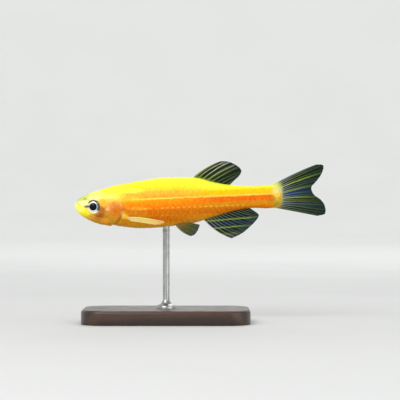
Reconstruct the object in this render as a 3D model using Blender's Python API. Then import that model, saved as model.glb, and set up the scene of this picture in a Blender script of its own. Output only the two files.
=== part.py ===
"""Zebra danio of the golden orange strain, swimming: a life-size still model on a plain display stand.

The snout points towards -X and +Z is up. Every size is in millimetres, and place() turns a point into the
scene's metres. A point of the fish is its distance behind the snout tip, its distance from the middle plane,
and its height over the swimming line, which runs level through the flank.
"""

import math
from collections import namedtuple

import bmesh
import bpy
import numpy as np
from mathutils import Matrix, Vector

METRES = 0.001
TOTAL_LENGTH = 45.0
SWIM_HEIGHT = 22.0
GAP = 0.3
CUT_REACH = 8.0

# Behind the snout, back, belly, half width, squareness of the back's curve and of the belly's
BODY_STATIONS = (
    (0.00, -0.98, -0.98, 0.00, 2.0, 2.0),
    (0.30, -0.42, -1.80, 0.70, 2.0, 2.0),
    (1.02, 0.38, -2.62, 1.20, 2.2, 2.0),
    (2.46, 1.06, -3.54, 1.72, 2.4, 1.9),
    (4.61, 1.82, -4.36, 2.12, 2.4, 1.8),
    (7.84, 2.76, -4.72, 2.46, 2.2, 1.9),
    (11.78, 3.48, -5.10, 2.66, 2.1, 2.1),
    (15.37, 4.02, -4.95, 2.60, 2.1, 2.1),
    (18.95, 4.12, -4.52, 2.36, 2.1, 2.0),
    (21.82, 4.06, -4.06, 2.04, 2.1, 1.9),
    (25.23, 3.18, -2.96, 1.62, 2.1, 1.9),
    (28.00, 2.76, -2.14, 1.30, 2.1, 2.0),
    (31.50, 2.56, -1.50, 1.00, 2.1, 2.1),
    (35.09, 2.72, -1.54, 0.70, 2.2, 2.2),
    (37.06, 2.90, -1.46, 0.34, 2.4, 2.4),
)
BODY_LENGTH = BODY_STATIONS[-1][0]
BODY_RINGS = 52
BODY_SIDES = 34

# The head ends at the gill opening, an arc in the side view
GILL_ARC_CENTRE = (4.80, -1.08)
GILL_ARC_RADIUS = 3.94
GILL_ARC_HALF_TURN = math.radians(78.0)
GILL_COVER_OUTLINE = ((5.60, 0.85), (5.15, -1.30), (5.70, -3.45), (7.60, -4.05), (9.60, -3.40), (9.60, 0.25))
GILL_COVER_CORNER = 0.90
GILL_COVER_DEPTH = 1.30

# The mouth slants down from its notch to its corner, and the throat line runs on under the jaw
MOUTH_FRONT = (-0.70, 0.62)
MOUTH_CORNER = (1.45, -1.45)
THROAT_END = (2.62, -4.70)
LIP_RADIUS = 0.26
LIP_SINK = 0.12
LIP_POINTS = 8

EYE_CENTRE = (3.32, 1.63, -1.18)
EYE_RADIUS = 1.18
EYE_DEPTH = 0.62
EYE_TURN = math.radians(11.0)
LENS_RADII = (0.60, 0.32, 0.60)
LENS_SINK = 0.24
NOSTRIL_PLACE = (1.95, 0.20)
NOSTRIL_RIM = (0.38, 0.16, 0.30)
NOSTRIL_PIT = (0.22, 0.30, 0.16)
BARBEL_RADIUS = 0.22
# Start and end in the side view, how far the middle sags, and how far the tip stands off the skin
LONG_BARBEL = ((2.15, -2.05), (4.95, -3.15), 0.40, 0.25)
SHORT_BARBEL = ((0.85, -0.42), (1.62, -0.60), 0.0, 0.45)

# The tail is parted from the torso by a slanting cut, from behind the dorsal fin to before the anal fin
TAIL_CUT_TOP = (27.10, 6.00)
TAIL_CUT_BOTTOM = (22.10, -6.00)

FIN_ROOT_THICKNESS = 0.56
FIN_EDGE_THICKNESS = 0.44
RAY_RISE = 0.12
RAY_FADE = 0.6
RAY_HALF_WIDTH = 0.22

# A fin's rays, its rows of points from root to margin, the root line, the margin line, and how far the
# first ray arches. Roots lie a little inside the body, and points run from the first ray to the last
Fin = namedtuple("Fin", "rays rows root margin arch")
DORSAL_FIN = Fin(
    9, 6, ((21.00, 0, 3.70), (23.90, 0, 3.00), (26.45, 0, 2.25)),
    (
        (26.20, 0, 6.96), (27.55, 0, 6.88), (28.95, 0, 6.30),
        (29.90, 0, 5.36), (29.60, 0, 4.35), (28.30, 0, 3.25),
    ),
    (-0.20, 0, 0.34),
)
ANAL_FIN = Fin(
    14, 6, ((23.10, 0, -3.30), (26.30, 0, -2.05), (30.60, 0, -0.95)),
    (
        (28.20, 0, -6.86), (30.00, 0, -6.00), (31.35, 0, -4.90),
        (32.50, 0, -3.75), (33.05, 0, -2.70), (32.20, 0, -1.95),
    ),
    (-0.22, 0, -0.40),
)
CAUDAL_FIN = Fin(
    19, 7, ((35.70, 0, 2.80), (36.35, 0, 1.80), (36.60, 0, 0.70), (36.35, 0, -0.40), (35.75, 0, -1.30)),
    (
        (44.10, 0, 6.42), (44.72, 0, 5.80), (44.25, 0, 4.75), (43.50, 0, 3.50), (42.50, 0, 2.30),
        (42.92, 0, 1.02), (44.10, 0, 0.10), (44.85, 0, -0.95), (45.00, 0, -2.10), (44.10, 0, -2.86),
    ),
    (0, 0, 0),
)
PELVIC_FIN = Fin(
    7, 5, ((18.00, 0.75, -4.20), (18.60, 0.80, -4.10), (19.20, 0.85, -4.00)),
    ((20.55, 1.55, -6.42), (21.35, 1.65, -6.20), (22.00, 1.60, -5.50), (22.40, 1.40, -4.72)),
    (-0.25, 0, -0.25),
)
PECTORAL_FIN = Fin(
    8, 6, ((9.25, 2.25, -3.10), (9.55, 1.82, -3.38), (9.85, 1.40, -3.65)),
    (
        (15.60, 4.90, -3.72), (16.20, 4.50, -3.96), (15.90, 4.00, -4.22),
        (15.00, 3.45, -4.38), (13.60, 2.95, -4.42),
    ),
    (0, 0.25, 0),
)

STAND_X = 16.44
BASE_LENGTH = 30.0
BASE_WIDTH = 16.0
BASE_THICKNESS = 2.6
BASE_CORNER = 4.0
BASE_CHAMFER = 0.5
BASE_CORNER_STEPS = 6
BASE_RIM_STEPS = 2
ROD_RADIUS = 0.6
ROD_FOOT_RADIUS = 1.7
ROD_FOOT_HEIGHT = 0.6
ROD_FLARE_RADIUS = 0.9
ROD_FLARE_HEIGHT = 0.9
ROD_TOP_DEPTH = 3.0
ROUND_STEPS = 24
SMALL_STEPS = 12
CORNER_STEPS = 4

# Colour, roughness, metallic
MATERIALS = {
    "skin": ((0.98, 0.55, 0.03, 1.0), 0.35, 0.0),
    "fin": ((0.55, 0.62, 0.42, 1.0), 0.30, 0.0),
    "eye": ((0.80, 0.82, 0.80, 1.0), 0.12, 0.0),
    "wood": ((0.10, 0.06, 0.04, 1.0), 0.45, 0.0),
    "steel": ((0.62, 0.62, 0.60, 1.0), 0.25, 1.0),
}


def place(x, y, z):
    """The scene's point for a point of the fish."""
    return Vector((x - TOTAL_LENGTH / 2, y, z + SWIM_HEIGHT)) * METRES


def smooth_line(knots, values, at):
    """A smooth curve through values at knots, read at one place; each value may be a row of numbers."""
    knots, values = np.asarray(knots, float), np.asarray(values, float)
    slopes = np.gradient(values, knots, axis=0)
    at = np.clip(at, knots[0], knots[-1])
    left = int(np.clip(np.searchsorted(knots, at) - 1, 0, len(knots) - 2))
    step = knots[left + 1] - knots[left]
    t = (at - knots[left]) / step
    return (
        (2 * t**3 - 3 * t**2 + 1) * values[left]
        + (t**3 - 2 * t**2 + t) * step * slopes[left]
        + (3 * t**2 - 2 * t**3) * values[left + 1]
        + (t**3 - t**2) * step * slopes[left + 1]
    )


def along(points, share):
    """The point at a share of the way along a smooth line through points."""
    return smooth_line(np.linspace(0, 1, len(points)), points, share)


def body_section(x):
    """Back, belly, half width and the two squarenesses of the body at a distance behind the snout.
    They are smooth in the square root of that distance, which gives the snout its round end."""
    roots = [math.sqrt(station[0]) for station in BODY_STATIONS]
    return smooth_line(roots, [station[1:] for station in BODY_STATIONS], math.sqrt(max(x, 0.0)))


def flank(x, z):
    """The body's half width at a place of the side view."""
    back, belly, half_width, back_power, belly_power = body_section(x)
    middle, half_depth = (back + belly) / 2, (back - belly) / 2
    power = back_power if z > middle else belly_power
    share = min(abs(z - middle) / half_depth, 1.0)
    return half_width * (1 - share**power) ** (1 / power)


def section_ring(x, grow):
    """The points round the body at one distance behind the snout, with the form grown by a margin."""
    back, belly, half_width, back_power, belly_power = body_section(x)
    middle, half_depth = (back + belly) / 2, (back - belly) / 2 + grow
    shifted = x + grow * (2 * x / BODY_LENGTH - 1)
    ring = []
    for turn in range(BODY_SIDES):
        angle = 2 * math.pi * turn / BODY_SIDES
        power = 2 / (back_power if math.sin(angle) > 0 else belly_power)
        side = math.copysign(abs(math.cos(angle)) ** power, math.cos(angle))
        rise = math.copysign(abs(math.sin(angle)) ** power, math.sin(angle))
        ring.append(place(shifted, (half_width + grow) * side, middle + half_depth * rise))
    return ring


def make_material(name):
    colour, roughness, metallic = MATERIALS[name]
    material = bpy.data.materials.new(name)
    material.use_nodes = True
    shader = material.node_tree.nodes["Principled BSDF"]
    shader.inputs["Base Color"].default_value = colour
    shader.inputs["Roughness"].default_value = roughness
    shader.inputs["Metallic"].default_value = metallic
    return material


def add_object(name, mesh, collection):
    made = bpy.data.objects.new(name, mesh)
    collection.objects.link(made)
    return made


def from_bmesh(name, form, collection):
    bmesh.ops.recalc_face_normals(form, faces=form.faces)
    mesh = bpy.data.meshes.new(name)
    form.to_mesh(mesh)
    form.free()
    return add_object(name, mesh, collection)


def make_body(name, collection, grow=0.0):
    """The whole fish without fins, as one loft from the snout to the root of the tail fin."""
    form = bmesh.new()
    tip = form.verts.new(place(-grow, 0, body_section(0.0)[0]))
    rings = []
    for step in range(1, BODY_RINGS + 1):
        x = BODY_LENGTH * (step / BODY_RINGS) ** 2
        rings.append([form.verts.new(point) for point in section_ring(x, grow)])
    for turn in range(BODY_SIDES):
        following = (turn + 1) % BODY_SIDES
        form.faces.new((tip, rings[0][turn], rings[0][following]))
        for front, rear in zip(rings, rings[1:]):
            form.faces.new((front[turn], rear[turn], rear[following], front[following]))
    form.faces.new(rings[-1])
    return from_bmesh(name, form, collection)


def make_slab(name, outline, near, far, collection):
    """A side-view outline made solid from one distance off the middle plane to another."""
    form = bmesh.new()
    face = form.faces.new([form.verts.new(place(x, near, z)) for x, z in outline])
    grown = bmesh.ops.extrude_face_region(form, geom=[face])["geom"]
    moved = [part for part in grown if isinstance(part, bmesh.types.BMVert)]
    bmesh.ops.translate(form, verts=moved, vec=Vector((0, far - near, 0)) * METRES)
    return from_bmesh(name, form, collection)


def make_tube(name, points, radii, collection):
    """A round closed tube along points, with its own radius at each, as a welded mesh."""
    curve = bpy.data.curves.new(name, "CURVE")
    curve.dimensions = "3D"
    curve.bevel_depth = METRES
    curve.bevel_resolution = 1
    curve.use_fill_caps = True
    spline = curve.splines.new("POLY")
    spline.points.add(len(points) - 1)
    for knot, point, radius in zip(spline.points, points, radii):
        knot.co = (*place(*point), 1.0)
        knot.radius = radius
    drawn = add_object(name + "_line", curve, collection)
    graph = bpy.context.evaluated_depsgraph_get()
    form = bmesh.new()
    form.from_mesh(bpy.data.meshes.new_from_object(drawn.evaluated_get(graph)))
    bpy.data.objects.remove(drawn)
    bmesh.ops.remove_doubles(form, verts=form.verts, dist=1e-6)
    return from_bmesh(name, form, collection)


def make_ball(name, centre, radii, turn, steps, collection):
    """A ball of three radii, with its poles at its sides, turned about the vertical."""
    form = bmesh.new()
    bmesh.ops.create_uvsphere(form, u_segments=steps, v_segments=steps // 2, radius=METRES)
    form.transform(Matrix.Rotation(math.pi / 2, 4, "X"))
    form.transform(Matrix.Diagonal((*radii, 1.0)))
    form.transform(Matrix.Rotation(turn, 4, "Z"))
    form.transform(Matrix.Translation(place(*centre)))
    return from_bmesh(name, form, collection)


def bake_modifiers(target):
    graph = bpy.context.evaluated_depsgraph_get()
    mesh = bpy.data.meshes.new_from_object(target.evaluated_get(graph))
    target.modifiers.clear()
    target.data = mesh


def keep_largest(target):
    """Leaves only the node's largest closed surface."""
    form = bmesh.new()
    form.from_mesh(target.data)
    left = set(form.verts)
    pieces = []
    while left:
        piece, edge_of_piece = set(), [left.pop()]
        while edge_of_piece:
            vert = edge_of_piece.pop()
            piece.add(vert)
            near = {edge.other_vert(vert) for edge in vert.link_edges} & left
            left -= near
            edge_of_piece.extend(near)
        pieces.append(piece)
    pieces.sort(key=len)
    for scrap in pieces[:-1]:
        bmesh.ops.delete(form, geom=list(scrap), context="VERTS")
    form.to_mesh(target.data)
    form.free()


def combine(target, cutter, operation):
    """Applies one Boolean between two objects and removes the second."""
    modifier = target.modifiers.new(operation.lower(), "BOOLEAN")
    modifier.operation = operation
    modifier.object = cutter
    bake_modifiers(target)
    bpy.data.objects.remove(cutter)
    keep_largest(target)


def fuse(target, pieces):
    """Joins pieces into the node by one union on their collection, which is then removed."""
    bunch = bpy.data.collections.new(target.name + "_pieces")
    bpy.context.scene.collection.children.link(bunch)
    for piece in pieces:
        for held in list(piece.users_collection):
            held.objects.unlink(piece)
        bunch.objects.link(piece)
    modifier = target.modifiers.new("fuse", "BOOLEAN")
    modifier.operation = "UNION"
    modifier.operand_type = "COLLECTION"
    modifier.collection = bunch
    bake_modifiers(target)
    for piece in pieces:
        bpy.data.objects.remove(piece)
    bpy.data.collections.remove(bunch)
    keep_largest(target)


def widened(outline, by):
    """A convex outline with every side moved outwards by a distance."""
    points = [Vector(point) for point in outline]
    centre = sum(points, Vector((0, 0))) / len(points)
    sides = []
    for start, end in zip(points, points[1:] + points[:1]):
        way = (end - start).normalized()
        out = Vector((way.y, -way.x))
        if out.dot(start - centre) < 0:
            out = -out
        sides.append((start + out * by, way))
    made = []
    for (first, first_way), (second, second_way) in zip(sides[-1:] + sides[:-1], sides):
        offset = second - first
        reach = (offset.x * second_way.y - offset.y * second_way.x) / (
            first_way.x * second_way.y - first_way.y * second_way.x
        )
        made.append(tuple(first + first_way * reach))
    return made


def rounded(outline, radius):
    """The outline with an arc at each corner."""
    made = []
    count = len(outline)
    for index in range(count):
        before, corner, after = (Vector(outline[(index + step) % count]) for step in (-1, 0, 1))
        to_before, to_after = (before - corner).normalized(), (after - corner).normalized()
        half_angle = to_before.angle(to_after) / 2
        length = min(radius / math.tan(half_angle), (before - corner).length / 2, (after - corner).length / 2)
        centre = corner + (to_before + to_after).normalized() * (length / math.cos(half_angle))
        start, end = corner + to_before * length - centre, corner + to_after * length - centre
        swing = start.angle_signed(end)
        for step in range(CORNER_STEPS + 1):
            made.append(tuple(centre + Matrix.Rotation(-swing * step / CORNER_STEPS, 2) @ start))
    return made


def head_outline(grow):
    """The side-view region before the gill opening, closed by the gill arc."""
    half_turn = GILL_ARC_HALF_TURN
    radius = GILL_ARC_RADIUS + grow
    arc = []
    for step in range(ROUND_STEPS + 1):
        angle = half_turn - 2 * half_turn * step / ROUND_STEPS
        arc.append(
            (GILL_ARC_CENTRE[0] + radius * math.cos(angle), GILL_ARC_CENTRE[1] + radius * math.sin(angle))
        )
    (top, _), (bottom, _) = arc[0], arc[-1]
    return [(-CUT_REACH, CUT_REACH), (top, CUT_REACH), *arc, (bottom, -CUT_REACH), (-CUT_REACH, -CUT_REACH)]


def jaw_outline():
    """The side-view region of the lower jaw, under the mouth and before the throat line."""
    return [MOUTH_FRONT, MOUTH_CORNER, THROAT_END, (MOUTH_FRONT[0], THROAT_END[1])]


def inside_body(x, z):
    if x <= 0:
        return False
    back, belly = body_section(x)[:2]
    return belly < z < back


def lip_path(below):
    """Points round the mouth, on the skin, a little under or over the mouth line and evenly spaced."""
    way = Vector(MOUTH_CORNER) - Vector(MOUTH_FRONT)
    start = Vector(MOUTH_FRONT) + Vector((way.y, -way.x)).normalized() * below
    outside, inside = 0.0, 1.0
    for _ in range(30):
        middle = (outside + inside) / 2
        if inside_body(*(start + way * middle)):
            inside = middle
        else:
            outside = middle
    fine = [np.array((*(start + way * inside), 0.0))[[0, 2, 1]]]
    for step in range(1, 61):
        x, z = start + way * (inside + (1 - inside) * (step / 60) ** 2)
        fine.append(np.array((x, flank(x, z), z)))
    lengths = np.cumsum([0.0] + [np.linalg.norm(b - a) for a, b in zip(fine, fine[1:])])
    half = []
    for step in range(1, LIP_POINTS + 1):
        at = lengths[-1] * step / LIP_POINTS
        half.append([float(np.interp(at, lengths, [point[axis] for point in fine])) for axis in range(3)])
    front = fine[0] + np.array((LIP_SINK, 0.0, 0.0))
    half = [(x + LIP_SINK / 2, y - LIP_SINK / 2, z) for x, y, z in half]
    return [(x, y, z) for x, y, z in reversed(half)] + [tuple(front)] + [(x, -y, z) for x, y, z in half]


def make_lip(name, below, collection):
    points = lip_path(below)
    radii = [LIP_RADIUS] * len(points)
    radii[0] = radii[-1] = LIP_RADIUS * 0.7
    return make_tube(name, points, radii, collection)


def make_barbel(name, side, shape, collection):
    """A tapering feeler along the cheek, which leaves the skin at its tip."""
    start, end, sag, stand_off = shape
    points, radii = [], []
    for step in range(7):
        share = step / 6
        x = start[0] + (end[0] - start[0]) * share
        z = start[1] + (end[1] - start[1]) * share - sag * 4 * share * (1 - share)
        points.append((x, side * (flank(x, z) - 0.06 + stand_off * share**2), z))
        radii.append(BARBEL_RADIUS * (1 - 0.6 * share))
    return make_tube(name, points, radii, collection)


def nostril_centre(side):
    x, z = NOSTRIL_PLACE
    return (x, side * (flank(x, z) - 0.04), z)


def tail_outline(shift):
    """The side-view region behind the slanting tail cut, which is shifted by a distance along the body."""
    cut = [(x + shift, z) for x, z in (TAIL_CUT_TOP, TAIL_CUT_BOTTOM)]
    return cut + [(TOTAL_LENGTH, TAIL_CUT_BOTTOM[1]), (TOTAL_LENGTH, TAIL_CUT_TOP[1])]


def part_body(nodes, cutters):
    """Head, lower jaw, gill covers, torso and tail, parted by thin cuts through the whole body."""

    def through(outline):
        return make_slab("region", outline, -CUT_REACH, CUT_REACH, cutters)

    head = make_body("head", nodes)
    combine(head, through(head_outline(0.0)), "INTERSECT")
    torso = make_body("torso", nodes)
    combine(torso, through(head_outline(GAP)), "DIFFERENCE")
    combine(torso, through(tail_outline(-GAP / 2)), "DIFFERENCE")
    tail = make_body("tail", nodes)
    combine(tail, through(tail_outline(GAP / 2)), "INTERSECT")

    jaw = add_object("lower_jaw", head.data.copy(), nodes)
    combine(jaw, through(jaw_outline()), "INTERSECT")
    combine(head, through(widened(jaw_outline(), GAP)), "DIFFERENCE")

    cover_outline = rounded(GILL_COVER_OUTLINE, GILL_COVER_CORNER)
    space_outline = rounded(widened(GILL_COVER_OUTLINE, GAP), GILL_COVER_CORNER + GAP)
    for side, name in ((1, "right"), (-1, "left")):
        reach = side * CUT_REACH
        cover = add_object("gill_cover_" + name, head.data.copy(), nodes)
        region = make_slab("region", cover_outline, side * GILL_COVER_DEPTH, reach, cutters)
        combine(cover, region, "INTERSECT")
        space = make_slab("space", space_outline, side * (GILL_COVER_DEPTH - GAP), reach, cutters)
        combine(head, space, "DIFFERENCE")
    return head, jaw


def finish_head(head, jaw, nodes, cutters):
    """Lips, barbels and nostril rims are fused on, then the nostrils and eye sockets are cut."""
    fuse(jaw, [make_lip("lower_lip", LIP_RADIUS + 0.05, nodes)])
    pieces = [make_lip("upper_lip", -(GAP + LIP_RADIUS + 0.05), nodes)]
    for side in (1, -1):
        pieces.append(make_barbel("long_barbel", side, LONG_BARBEL, nodes))
        pieces.append(make_barbel("short_barbel", side, SHORT_BARBEL, nodes))
        pieces.append(make_ball("nostril_rim", nostril_centre(side), NOSTRIL_RIM, 0.0, SMALL_STEPS, nodes))
    fuse(head, pieces)
    for side, name in ((1, "right"), (-1, "left")):
        pit = make_ball("nostril", nostril_centre(side), NOSTRIL_PIT, 0.0, SMALL_STEPS, cutters)
        combine(head, pit, "DIFFERENCE")
        centre = (EYE_CENTRE[0], side * EYE_CENTRE[1], EYE_CENTRE[2])
        turn = side * EYE_TURN
        socket = (EYE_RADIUS + GAP, EYE_DEPTH + GAP, EYE_RADIUS + GAP)
        combine(head, make_ball("socket", centre, socket, turn, ROUND_STEPS, cutters), "DIFFERENCE")
        eye = make_ball("eye_" + name, centre, (EYE_RADIUS, EYE_DEPTH, EYE_RADIUS), turn, ROUND_STEPS, nodes)
        lens_centre = (centre[0], centre[1] + side * (EYE_DEPTH - LENS_SINK), centre[2])
        fuse(eye, [make_ball("lens", lens_centre, LENS_RADII, turn, SMALL_STEPS, nodes)])


def fin_point(fin, share, outwards):
    """A point of a fin's middle surface: each ray runs from the root line to the margin line, and the
    foremost rays arch."""
    root, margin = along(fin.root, share), along(fin.margin, share)
    arch = 4 * outwards * (1 - outwards) * (1 - share)
    return root + (margin - root) * outwards + np.asarray(fin.arch) * arch


def fin_columns(rays):
    """Where the columns of a fin's points stand, as shares, and whether each is a ray's crest. Each ray is
    a crest between two feet, and the first and the last ray are the fin's edges."""
    spacing = 1 / (rays - 1)
    columns = []
    for ray in range(rays):
        for offset in (-RAY_HALF_WIDTH, 0.0, RAY_HALF_WIDTH):
            share = (ray + offset) * spacing
            if -1e-9 <= share <= 1 + 1e-9:
                columns.append((share, offset == 0.0))
    return columns


def make_fin(name, fin, collection):
    """A membrane that thins towards its margin, with its rays raised on both faces. Each row of points is
    thickened one way, and both faces are split into like triangles."""
    columns = fin_columns(fin.rays)
    outwards = np.linspace(0, 1, fin.rows)
    grid = np.array([[fin_point(fin, share, out) for out in outwards] for share, _ in columns])
    normals = np.cross(np.gradient(grid, axis=0), np.gradient(grid, axis=1)).mean(axis=0)
    normals /= np.linalg.norm(normals, axis=1, keepdims=True)
    half = (FIN_ROOT_THICKNESS + (FIN_EDGE_THICKNESS - FIN_ROOT_THICKNESS) * outwards) / 2
    rise = RAY_RISE * (1 - RAY_FADE * outwards)

    form = bmesh.new()
    right, left = [], []
    for lines, way in ((right, 1), (left, -1)):
        for column, (_, crest) in enumerate(columns):
            out_by = half + rise if crest else half
            points = grid[column] + way * normals * out_by[:, None]
            lines.append([form.verts.new(place(*point)) for point in points])
    for lines in (right, left):
        for near, far in zip(lines, lines[1:]):
            for row in range(fin.rows - 1):
                form.faces.new((near[row], far[row], far[row + 1]))
                form.faces.new((near[row], far[row + 1], near[row + 1]))
    rim = [(column, 0) for column in range(len(columns))]
    rim += [(len(columns) - 1, row) for row in range(1, fin.rows)]
    rim += [(column, fin.rows - 1) for column in range(len(columns) - 2, -1, -1)]
    rim += [(0, row) for row in range(fin.rows - 2, 0, -1)]
    for here, following in zip(rim, rim[1:] + rim[:1]):
        (column, row), (next_column, next_row) = here, following
        form.faces.new(
            (right[column][row], right[next_column][next_row], left[next_column][next_row], left[column][row])
        )
    return from_bmesh(name, form, collection)


def mirrored(fin, side):
    """A paired fin on one side of the body: 1 for the right, -1 for the left."""

    def across(points):
        return [(x, side * y, z) for x, y, z in points]

    return fin._replace(root=across(fin.root), margin=across(fin.margin), arch=across([fin.arch])[0])


def add_fins(nodes, cutters):
    """Every fin is trimmed to the body with the gap that neighbouring nodes keep."""
    fins = [
        make_fin("dorsal_fin", DORSAL_FIN, nodes),
        make_fin("anal_fin", ANAL_FIN, nodes),
        make_fin("caudal_fin", CAUDAL_FIN, nodes),
    ]
    for side, name in ((1, "right"), (-1, "left")):
        fins.append(make_fin("pelvic_fin_" + name, mirrored(PELVIC_FIN, side), nodes))
        fins.append(make_fin("pectoral_fin_" + name, mirrored(PECTORAL_FIN, side), nodes))
    for fin in fins:
        combine(fin, make_body("body_space", cutters, GAP), "DIFFERENCE")


def add_base(nodes):
    """A flat base with round corners and a softened rim."""
    form = bmesh.new()
    bmesh.ops.create_cube(form, size=METRES)
    form.transform(Matrix.Diagonal((BASE_LENGTH, BASE_WIDTH, BASE_THICKNESS, 1.0)))
    form.transform(Matrix.Translation(place(STAND_X, 0, BASE_THICKNESS / 2 - SWIM_HEIGHT)))
    upright = [edge for edge in form.edges if abs(edge.verts[0].co.z - edge.verts[1].co.z) > METRES]
    bmesh.ops.bevel(
        form, geom=upright, offset=BASE_CORNER * METRES, segments=BASE_CORNER_STEPS, profile=0.5,
        affect="EDGES",
    )
    top = BASE_THICKNESS * METRES
    rim = [edge for edge in form.edges if all(abs(vert.co.z - top) < METRES / 1000 for vert in edge.verts)]
    bmesh.ops.bevel(
        form, geom=rim, offset=BASE_CHAMFER * METRES, segments=BASE_RIM_STEPS, profile=0.5, affect="EDGES"
    )
    from_bmesh("stand_base", form, nodes)


def add_rod(nodes, cutters):
    """A turned rod with a flared foot, trimmed under the belly."""
    foot = BASE_THICKNESS + GAP - SWIM_HEIGHT
    top = -foot - ROD_TOP_DEPTH
    flare = ROD_FOOT_HEIGHT + ROD_FLARE_HEIGHT
    profile = (
        (0.0, 0.0), (ROD_FOOT_RADIUS, 0.0), (ROD_FOOT_RADIUS, ROD_FOOT_HEIGHT),
        (ROD_FLARE_RADIUS, ROD_FOOT_HEIGHT + ROD_FLARE_HEIGHT / 3),
        (ROD_RADIUS, flare), (ROD_RADIUS, top), (0.0, top),
    )
    form = bmesh.new()
    line = [form.verts.new((radius * METRES, 0, height * METRES)) for radius, height in profile]
    for lower, upper in zip(line, line[1:]):
        form.edges.new((lower, upper))
    bmesh.ops.spin(
        form, geom=form.verts[:] + form.edges[:], axis=(0, 0, 1), cent=(0, 0, 0), angle=2 * math.pi,
        steps=ROUND_STEPS, use_merge=True,
    )
    bmesh.ops.remove_doubles(form, verts=form.verts, dist=METRES / 1000)
    form.transform(Matrix.Translation(place(STAND_X, 0, foot)))
    rod = from_bmesh("stand_rod", form, nodes)
    combine(rod, make_body("body_space", cutters, GAP), "DIFFERENCE")


def paint(nodes):
    """Each node's own material, and smooth shading with sharp edges kept."""
    for node in nodes.objects:
        if node.name == "stand_base":
            kind = "wood"
        elif node.name == "stand_rod":
            kind = "steel"
        elif node.name.startswith("eye"):
            kind = "eye"
        elif "fin" in node.name:
            kind = "fin"
        else:
            kind = "skin"
        node.data.materials.clear()
        node.data.materials.append(make_material(kind))
        node.data.shade_smooth()
        node.data.set_sharp_from_angle(angle=math.radians(40.0))


def main():
    for old in list(bpy.data.objects):
        bpy.data.objects.remove(old)
    nodes = bpy.data.collections.new("zebra_danio")
    cutters = bpy.data.collections.new("cutters")
    cutters.hide_render = True
    for collection in (nodes, cutters):
        bpy.context.scene.collection.children.link(collection)
    head, jaw = part_body(nodes, cutters)
    finish_head(head, jaw, nodes, cutters)
    add_fins(nodes, cutters)
    add_base(nodes)
    add_rod(nodes, cutters)
    paint(nodes)


main()
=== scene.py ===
"""Zebra danio of the golden orange strain: the finish of a life-size model on a plain display stand.

Sizes are in millimetres. A point of the fish is its distance behind the snout tip, its distance from the
middle plane, and its height over the swimming line, and place() turns it into the scene's metres.
"""
import math
from collections import namedtuple

import bmesh
import bpy
import numpy as np
from mathutils import Matrix, Vector


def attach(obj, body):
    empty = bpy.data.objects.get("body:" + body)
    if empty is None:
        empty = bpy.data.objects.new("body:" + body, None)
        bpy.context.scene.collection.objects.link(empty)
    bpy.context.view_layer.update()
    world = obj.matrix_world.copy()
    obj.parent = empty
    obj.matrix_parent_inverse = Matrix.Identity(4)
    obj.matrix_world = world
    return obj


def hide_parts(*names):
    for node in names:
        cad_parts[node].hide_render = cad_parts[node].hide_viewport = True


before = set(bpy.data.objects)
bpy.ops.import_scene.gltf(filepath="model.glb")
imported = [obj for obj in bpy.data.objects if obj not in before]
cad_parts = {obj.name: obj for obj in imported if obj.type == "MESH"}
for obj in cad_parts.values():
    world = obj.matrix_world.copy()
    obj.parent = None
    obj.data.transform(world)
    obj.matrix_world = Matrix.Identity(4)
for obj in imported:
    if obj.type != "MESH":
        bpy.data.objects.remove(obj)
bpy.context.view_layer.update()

METRES = 0.001
TOTAL_LENGTH = 45.0
SWIM_HEIGHT = 22.0

# Behind the snout, back, belly, half width, squareness of the back's curve and of the belly's
BODY_STATIONS = (
    (0.00, -0.98, -0.98, 0.00, 2.0, 2.0),
    (0.30, -0.42, -1.80, 0.70, 2.0, 2.0),
    (1.02, 0.38, -2.62, 1.20, 2.2, 2.0),
    (2.46, 1.06, -3.54, 1.72, 2.4, 1.9),
    (4.61, 1.82, -4.36, 2.12, 2.4, 1.8),
    (7.84, 2.76, -4.72, 2.46, 2.2, 1.9),
    (11.78, 3.48, -5.10, 2.66, 2.1, 2.1),
    (15.37, 4.02, -4.95, 2.60, 2.1, 2.1),
    (18.95, 4.12, -4.52, 2.36, 2.1, 2.0),
    (21.82, 4.06, -4.06, 2.04, 2.1, 1.9),
    (25.23, 3.18, -2.96, 1.62, 2.1, 1.9),
    (28.00, 2.76, -2.14, 1.30, 2.1, 2.0),
    (31.50, 2.56, -1.50, 1.00, 2.1, 2.1),
    (35.09, 2.72, -1.54, 0.70, 2.2, 2.2),
    (37.06, 2.90, -1.46, 0.34, 2.4, 2.4),
)
BODY_LENGTH = BODY_STATIONS[-1][0]

# The body's rear end is rounded from above and bowed from the side, as the fan of tail bones is
TAIL_TAPER_START = 35.6
TAIL_BOW_START = 33.0
TAIL_BOW = 1.1

SKIN_RINGS = 300
SKIN_SIDES = 224
SKIN_CROWDING = 1.7
COAT_DEPTH = 0.07

# The gill opening, the cheek's rear border and the small lines of the gill cover, in the side view
GILL_ARC_CENTRE = (4.80, -1.08)
GILL_ARC_RADIUS = 3.94
GILL_RIM_RISE = 0.07
GILL_GROOVE = 0.17
CHEEK_CENTRE = (4.55, -1.25)
CHEEK_RADIUS = 2.30
COVER_SEAMS = (((6.75, -3.30), (8.55, -2.35)), ((6.30, -0.25), (8.30, 0.55)), ((6.60, -3.85), (7.80, -3.35)))
THROAT_RAY_RADII = (2.72, 3.02, 3.32)
PECTORAL_SEAT = ((9.15, -3.05), (9.95, -3.70))

MOUTH_FRONT = (-0.70, 0.62)
MOUTH_CORNER = (1.45, -1.45)
MOUTH_DEPTH_FRONT = 0.34
MOUTH_DEPTH_CORNER = 0.14
MOUTH_HALF_WIDTH_FRONT = 0.20
MOUTH_HALF_WIDTH_CORNER = 0.11
LIP_OFFSET = 0.27
LIP_HALF_WIDTH = 0.22
LIP_RISE = 0.11

EYE_CENTRE = (3.55, 1.55, -1.20)
EYE_RADIUS = 1.18
EYE_TURN = math.radians(9.0)
SOCKET_DEPTH = 0.46
SOCKET_WALL = (0.95, 1.22)
PUPIL_RADIUS = 0.69
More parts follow.
